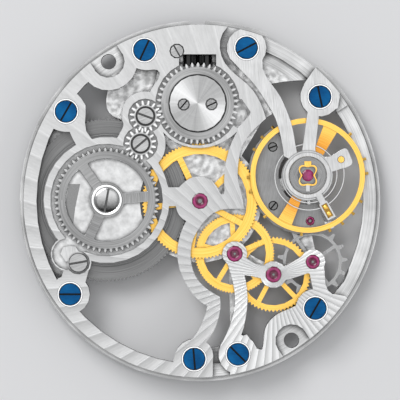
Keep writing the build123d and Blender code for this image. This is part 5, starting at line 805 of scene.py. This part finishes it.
def small_screws(node, centres, head, shank, skins, dome=0.0):
    """A node's steel screws, by their centres and slot angles."""
    low, high = levels(node)
    places = [(centre, high, low, angle) for centre, angle in centres]
    slot_size = (WIDE_SLOT if head[0] > WIDE_HEAD else NARROW_SLOT, min(SLOT_DEPTH, 0.6 * head[1]))
    slotted_screws(node, places, head, shank, slot_size, "polished_steel", skins, dome)


def steel_screws():
    grey_screw = (SCREW, GREY_SLOT)
    transfers = ((FIRST_TRANSFER, -20), (SECOND_TRANSFER, 40))
    crowns = ((LEFT_CROWN_SCREW, 50), (RIGHT_CROWN_SCREW, 25))
    pallets = ((UPPER_PALLET_SCREW, 20), (LOWER_PALLET_SCREW, 50))
    small_screws("transfer_screws", transfers, (0.62, 0.2), 0.28, grey_screw)
    small_screws("click_screw", ((CLICK, 10),), (0.70, 0.22), 0.30, grey_screw)
    small_screws("setting_lever_screw", ((SETTING_LEVER_SCREW, -60),), (0.49, 0.22), 0.28, grey_screw)
    small_screws("crown_screws", crowns, (0.40, 0.13), 0.26, (CROWN_SCREW, SLOT))
    small_screws("pallet_bridge_screws", pallets, (0.32, 0.2), 0.20, (DEEP_STEEL, SLOT))
    small_screws("ratchet_screw", ((BARREL, 80),), (0.90, 0.17), 0.88, (DOME, GREY_SLOT), dome=0.09)


def ratchet_collar():
    """The bright turned step round the ratchet wheel's screw."""
    top = levels("ratchet_wheel")[1]
    # The underside, walls and outer bevel take the dark steel as painted shade
    profile = ((0.93, top - 0.04, 1), (1.16, top - 0.04, 1), (1.16, top + 0.015, 1), (1.12, top + 0.03, 0),
               (0.98, top + 0.03, 0), (0.94, top + 0.01, 1))
    bm = bmesh.new()
    add_turned(bm, BARREL, profile, 64)
    made("ratchet_collar", bm, "barrel_arbor", "polished_steel", (RING, SHADE_LINE))


# Jewels

def jewel_profile(radius, bore, bottom, top):
    """A hole jewel with an oil sink: bright rim and land, and the deep sink in a darker copy of the ruby, as
    painted shade.
    """
    land = radius * 0.66
    return ((bore, bottom, 1), (radius, bottom, 1), (radius, top - 0.02, 1), (radius - 0.05, top + 0.004, 0),
            (land, top + 0.004, 0), (land * 0.86, top - OIL_SINK * 0.5, 1), (bore + 0.05, top - OIL_SINK, 1),
            (bore, top - OIL_SINK, 1))


def hole_jewels(node, depth, table):
    """A node's hole jewels, by axis, radius, bore and upper level."""
    bm = bmesh.new()
    for centre, radius, bore, top in table:
        add_turned(bm, centre, jewel_profile(radius, bore, top - depth, top))
    made(node + "_round", bm, "frame", "ruby", (RUBY, RUBY_SHADED), node)


def balance_jewels():
    """Above and below, a pierced stone and the cap stone over it. Only the upper cap is domed."""
    low, high = levels("balance_jewels")
    radius, bore, depth = BALANCE_STONE_RADIUS, BALANCE_STONE_BORE, BALANCE_STONE_DEPTH
    cap = depth - 0.002
    bm = bmesh.new()
    # Only the upper cap's dome takes the bright ruby; the rest takes the darker copy as painted shade
    for bottom in (high - 2 * depth, low + depth):
        top = bottom + depth
        add_turned(bm, BALANCE, ((bore, bottom, 1), (radius, bottom, 1), (radius, top, 1), (bore, top, 1)))
    dome = [(reach, high - 0.03 + rise, 0) for reach, rise in dome_points(radius, 0.07, 0)]
    add_turned(bm, BALANCE, [(0, high - cap, 1), (radius, high - cap, 1)] + dome + [(0, high + 0.04, 0)])
    add_turned(bm, BALANCE, [(0, low, 1), (radius, low, 1), (radius, low + cap, 1), (0, low + cap, 1)])
    made("balance_jewels_round", bm, "frame", "ruby", (RUBY, RUBY_SHADED), "balance_jewels")


def jewels():
    hole_jewels("train_jewels", TRAIN_JEWEL_DEPTH, (
        (CENTRE, 0.58, 0.17, BRIDGE_TOP), (THIRD, 0.58, 0.10, TRAIN_TOP),
        (FOURTH, 0.58, 0.10, TRAIN_TOP), (ESCAPE, 0.52, 0.10, TRAIN_TOP),
        (CENTRE, 0.57, 0.40, FLOOR_TOP), (THIRD, 0.57, 0.10, LOWER_JEWEL_TOP),
        (FOURTH, 0.57, 0.10, LOWER_JEWEL_TOP), (ESCAPE, 0.57, 0.10, LOWER_JEWEL_TOP)))
    hole_jewels("pallet_jewels", PALLET_JEWEL_DEPTH, (
        (PALLET, 0.33, 0.10, PALLET_TOP), (PALLET, 0.33, 0.10, LOWER_PALLET_JEWEL_TOP)))
    balance_jewels()


# The work over the balance

def shock_springs():
    """The lyre springs: a flat gilt wire in four lobes, and the upper one's hinge and catch."""
    face = levels("shock_blocks")[1]
    under = levels("shock_springs")[0]
    wire, thickness = LYRE_WIRE
    bm = bmesh.new()
    for base, share in ((face + 0.002, 1.0), (under, LOWER_LYRE_SHARE)):
        line = []
        for i in range(FINE_STEPS):
            angle = 2 * math.pi * i / FINE_STEPS
            line.append((angle, share * (0.70 - 0.13 * math.cos(4 * angle) - 0.10 * math.cos(2 * angle))))
        add_blade(bm, BALANCE, line, wire, base, base + thickness, closed=True, smooth=False)
    for side, skin, (reach, size, height) in ((1, 0, LYRE_HINGE), (-1, 1, LYRE_CATCH)):
        foot = (BALANCE[0], BALANCE[1] + side * reach)
        add_bar(bm, foot, size, face - LYRE_ROOT, face + height, skin=skin)
    made("shock_springs_round", bm, "frame", "gilt_brass", (GILT, SATIN), "shock_springs")


def stud_carrier():
    """The carrier's turned ring, its broad head as a flat plate, and the dark fit round the stud, which is
    painted shade.
    """
    low, high = levels("stud_carrier")
    bm = bmesh.new()
    add_turned(bm, BALANCE, ring_profile(RING_BORE, STUD_RING_RADIUS, low, high, 0.02), FINE_STEPS)
    add_plate(bm, [photo(*pixel) for pixel in STUD_HEAD_PIXELS], low - 0.003, high + 0.003)
    # A dark ring round the stud: painted shadow in the gap
    sunk = high - 0.02
    proud = high + 0.004
    add_turned(bm, STUD, ((0.235, sunk, 2), (0.285, sunk, 2), (0.285, proud, 2), (0.235, proud, 2)), 32)
    skins = (SATIN, EDGE, SLOT)
    obj = made("stud_carrier_plate", bm, "stud_carrier", "polished_steel", skins, "stud_carrier")
    bevel(obj, 0.03, angle=60, segments=2, skin=1)


def hairspring():
    """The flat blade, wound smoothly from the collet out to the stud."""
    low, high = levels("hairspring")
    orbit = math.dist(BALANCE, STUD)
    start = math.atan2(STUD[1] - BALANCE[1], STUD[0] - BALANCE[0])
    steps = SPRING_TURNS * FINE_STEPS
    last = steps - round(FINE_STEPS * SPRING_SHORT / (2 * math.pi * orbit))
    turn = 2 * math.pi * SPRING_TURNS
    pitch = orbit - SPRING_INNER
    shares = [i / steps for i in range(last + 1)]
    line = [(start + turn * share, SPRING_INNER + pitch * share) for share in shares]
    bm = bmesh.new()
    add_blade(bm, BALANCE, line, SPRING_BLADE, low, high)
    made("hairspring_wound", bm, "frame", "spring_alloy", (HAIRSPRING,), "hairspring")


def regulator():
    """The regulator's ring, neck and open tail, with the gilt key and the heads of its two pins."""
    low, high = levels("regulator")
    along = Vector((math.cos(math.radians(TAIL_ANGLE)), math.sin(math.radians(TAIL_ANGLE))))
    middle = Vector(BALANCE)
    centre = middle + along * TAIL_ORBIT
    bm = bmesh.new()
    add_bar(bm, centre, TAIL_SIZE, low, high, TAIL_ANGLE)
    window = bmesh.new()
    add_bar(window, centre, TAIL_WINDOW, low - 0.1, high + 0.1, TAIL_ANGLE)
    tail = made("regulator_tail", bm, "regulator", "polished_steel", (SATIN,), "regulator")
    cut_away(tail, window)
    chamfer(tail, 0.03)
    bm = bmesh.new()
    add_turned(bm, BALANCE, ring_profile(RING_BORE, REGULATOR_RING_RADIUS, low, high, 0.03), FINE_STEPS)
    add_bar(bm, middle + along * NECK_ORBIT, NECK_SIZE, low + 0.004, high - 0.004, TAIL_ANGLE)
    made("regulator_ring", bm, "regulator", "polished_steel", (SATIN, EDGE), "regulator")
    bm = bmesh.new()
    add_bar(bm, centre, KEY_SIZE, low, high - 0.05, TAIL_ANGLE, skin=1)
    pin = ((0, high - 0.08, 0), (0.17, high - 0.08, 0), (0.17, high - 0.03, 0), (0.12, high - 0.005, 0),
           (0, high, 0))
    for side in (-1, 1):
        add_turned(bm, centre + along * side * KEY_PIN_SPACING / 2, pin, 32)
    made("regulator_key", bm, "regulator", "gilt_brass", (GILT, DARK_GILT))


bridge_screws()
screw_sinks()
steel_screws()
ratchet_collar()
jewels()
shock_springs()
stud_carrier()
hairspring()
regulator()


# Studio, in metres and watts

FLOOR_REACH = 0.6
CAMERA_HEIGHT = 0.35
SENSOR_WIDTH = 36
WORLD_LIGHT = 0.42
WORLD_SEEN = 0.66


def floor():
    g = Graph("pale_floor")
    cloud = g.noise(g.place(), 0.02, 2.0, 0.5)
    material = g.finish(g.blend(cloud, (0.81, 0.81, 0.82, 1.0), (0.82, 0.82, 0.83, 1.0)), 0.0, 0.9)
    low = cad_box[0][2]
    corners = [(x * FLOOR_REACH, y * FLOOR_REACH, low) for x, y in ((-1, -1), (1, -1), (1, 1), (-1, 1))]
    mesh = bpy.data.meshes.new("floor")
    mesh.from_pydata(corners, [], [(0, 1, 2, 3)])
    mesh.materials.append(material)
    obj = bpy.data.objects.new("floor", mesh)
    bpy.context.scene.collection.objects.link(obj)


def light(name, place, size, power):
    """A square softbox that faces the movement."""
    data = bpy.data.lights.new(name, "AREA")
    data.shape = "SQUARE"
    data.size = size
    data.energy = power
    obj = bpy.data.objects.new(name, data)
    obj.location = place
    obj.rotation_euler = (-Vector(place)).to_track_quat("-Z", "Y").to_euler()
    bpy.context.scene.collection.objects.link(obj)


def camera():
    """A long lens straight above, framed as the photograph is."""
    data = bpy.data.cameras.new("camera")
    data.sensor_width = SENSOR_WIDTH
    data.lens = SENSOR_WIDTH * CAMERA_HEIGHT / (PHOTO_WIDTH * PX * MM)
    data.clip_start = 0.01
    data.clip_end = 10
    obj = bpy.data.objects.new("camera", data)
    x, y = photo(PHOTO_WIDTH / 2, PHOTO_WIDTH / 2)
    obj.location = (x * MM, y * MM, BRIDGE_TOP * MM + CAMERA_HEIGHT)
    bpy.context.scene.collection.objects.link(obj)
    bpy.context.scene.camera = obj


def world():
    """A pale room, brighter to the camera and in reflections than as light."""
    scene = bpy.context.scene
    scene.world = bpy.data.worlds.new("studio")
    scene.world.use_nodes = True
    tree = scene.world.node_tree
    background = tree.nodes["Background"]
    background.inputs["Color"].default_value = (0.97, 0.985, 1.0, 1.0)
    rays = tree.nodes.new("ShaderNodeLightPath")
    seen = rays.outputs["Is Camera Ray"]
    for kind in ("Is Glossy Ray", "Is Transmission Ray"):
        either = tree.nodes.new("ShaderNodeMath")
        either.operation = "MAXIMUM"
        tree.links.new(seen, either.inputs[0])
        tree.links.new(rays.outputs[kind], either.inputs[1])
        seen = either.outputs[0]
    strength = tree.nodes.new("ShaderNodeMapRange")
    strength.inputs["To Min"].default_value = WORLD_LIGHT
    strength.inputs["To Max"].default_value = WORLD_SEEN
    tree.links.new(seen, strength.inputs["Value"])
    tree.links.new(strength.outputs[0], background.inputs["Strength"])
    scene.view_settings.view_transform = "Standard"


floor()
camera()
world()
light("overhead", (0.0, 0.0, 0.75), 0.50, 0.64)
light("key", (-0.16, 0.20, 0.36), 0.20, 0.75)
light("fill", (0.26, -0.10, 0.30), 0.20, 0.15)
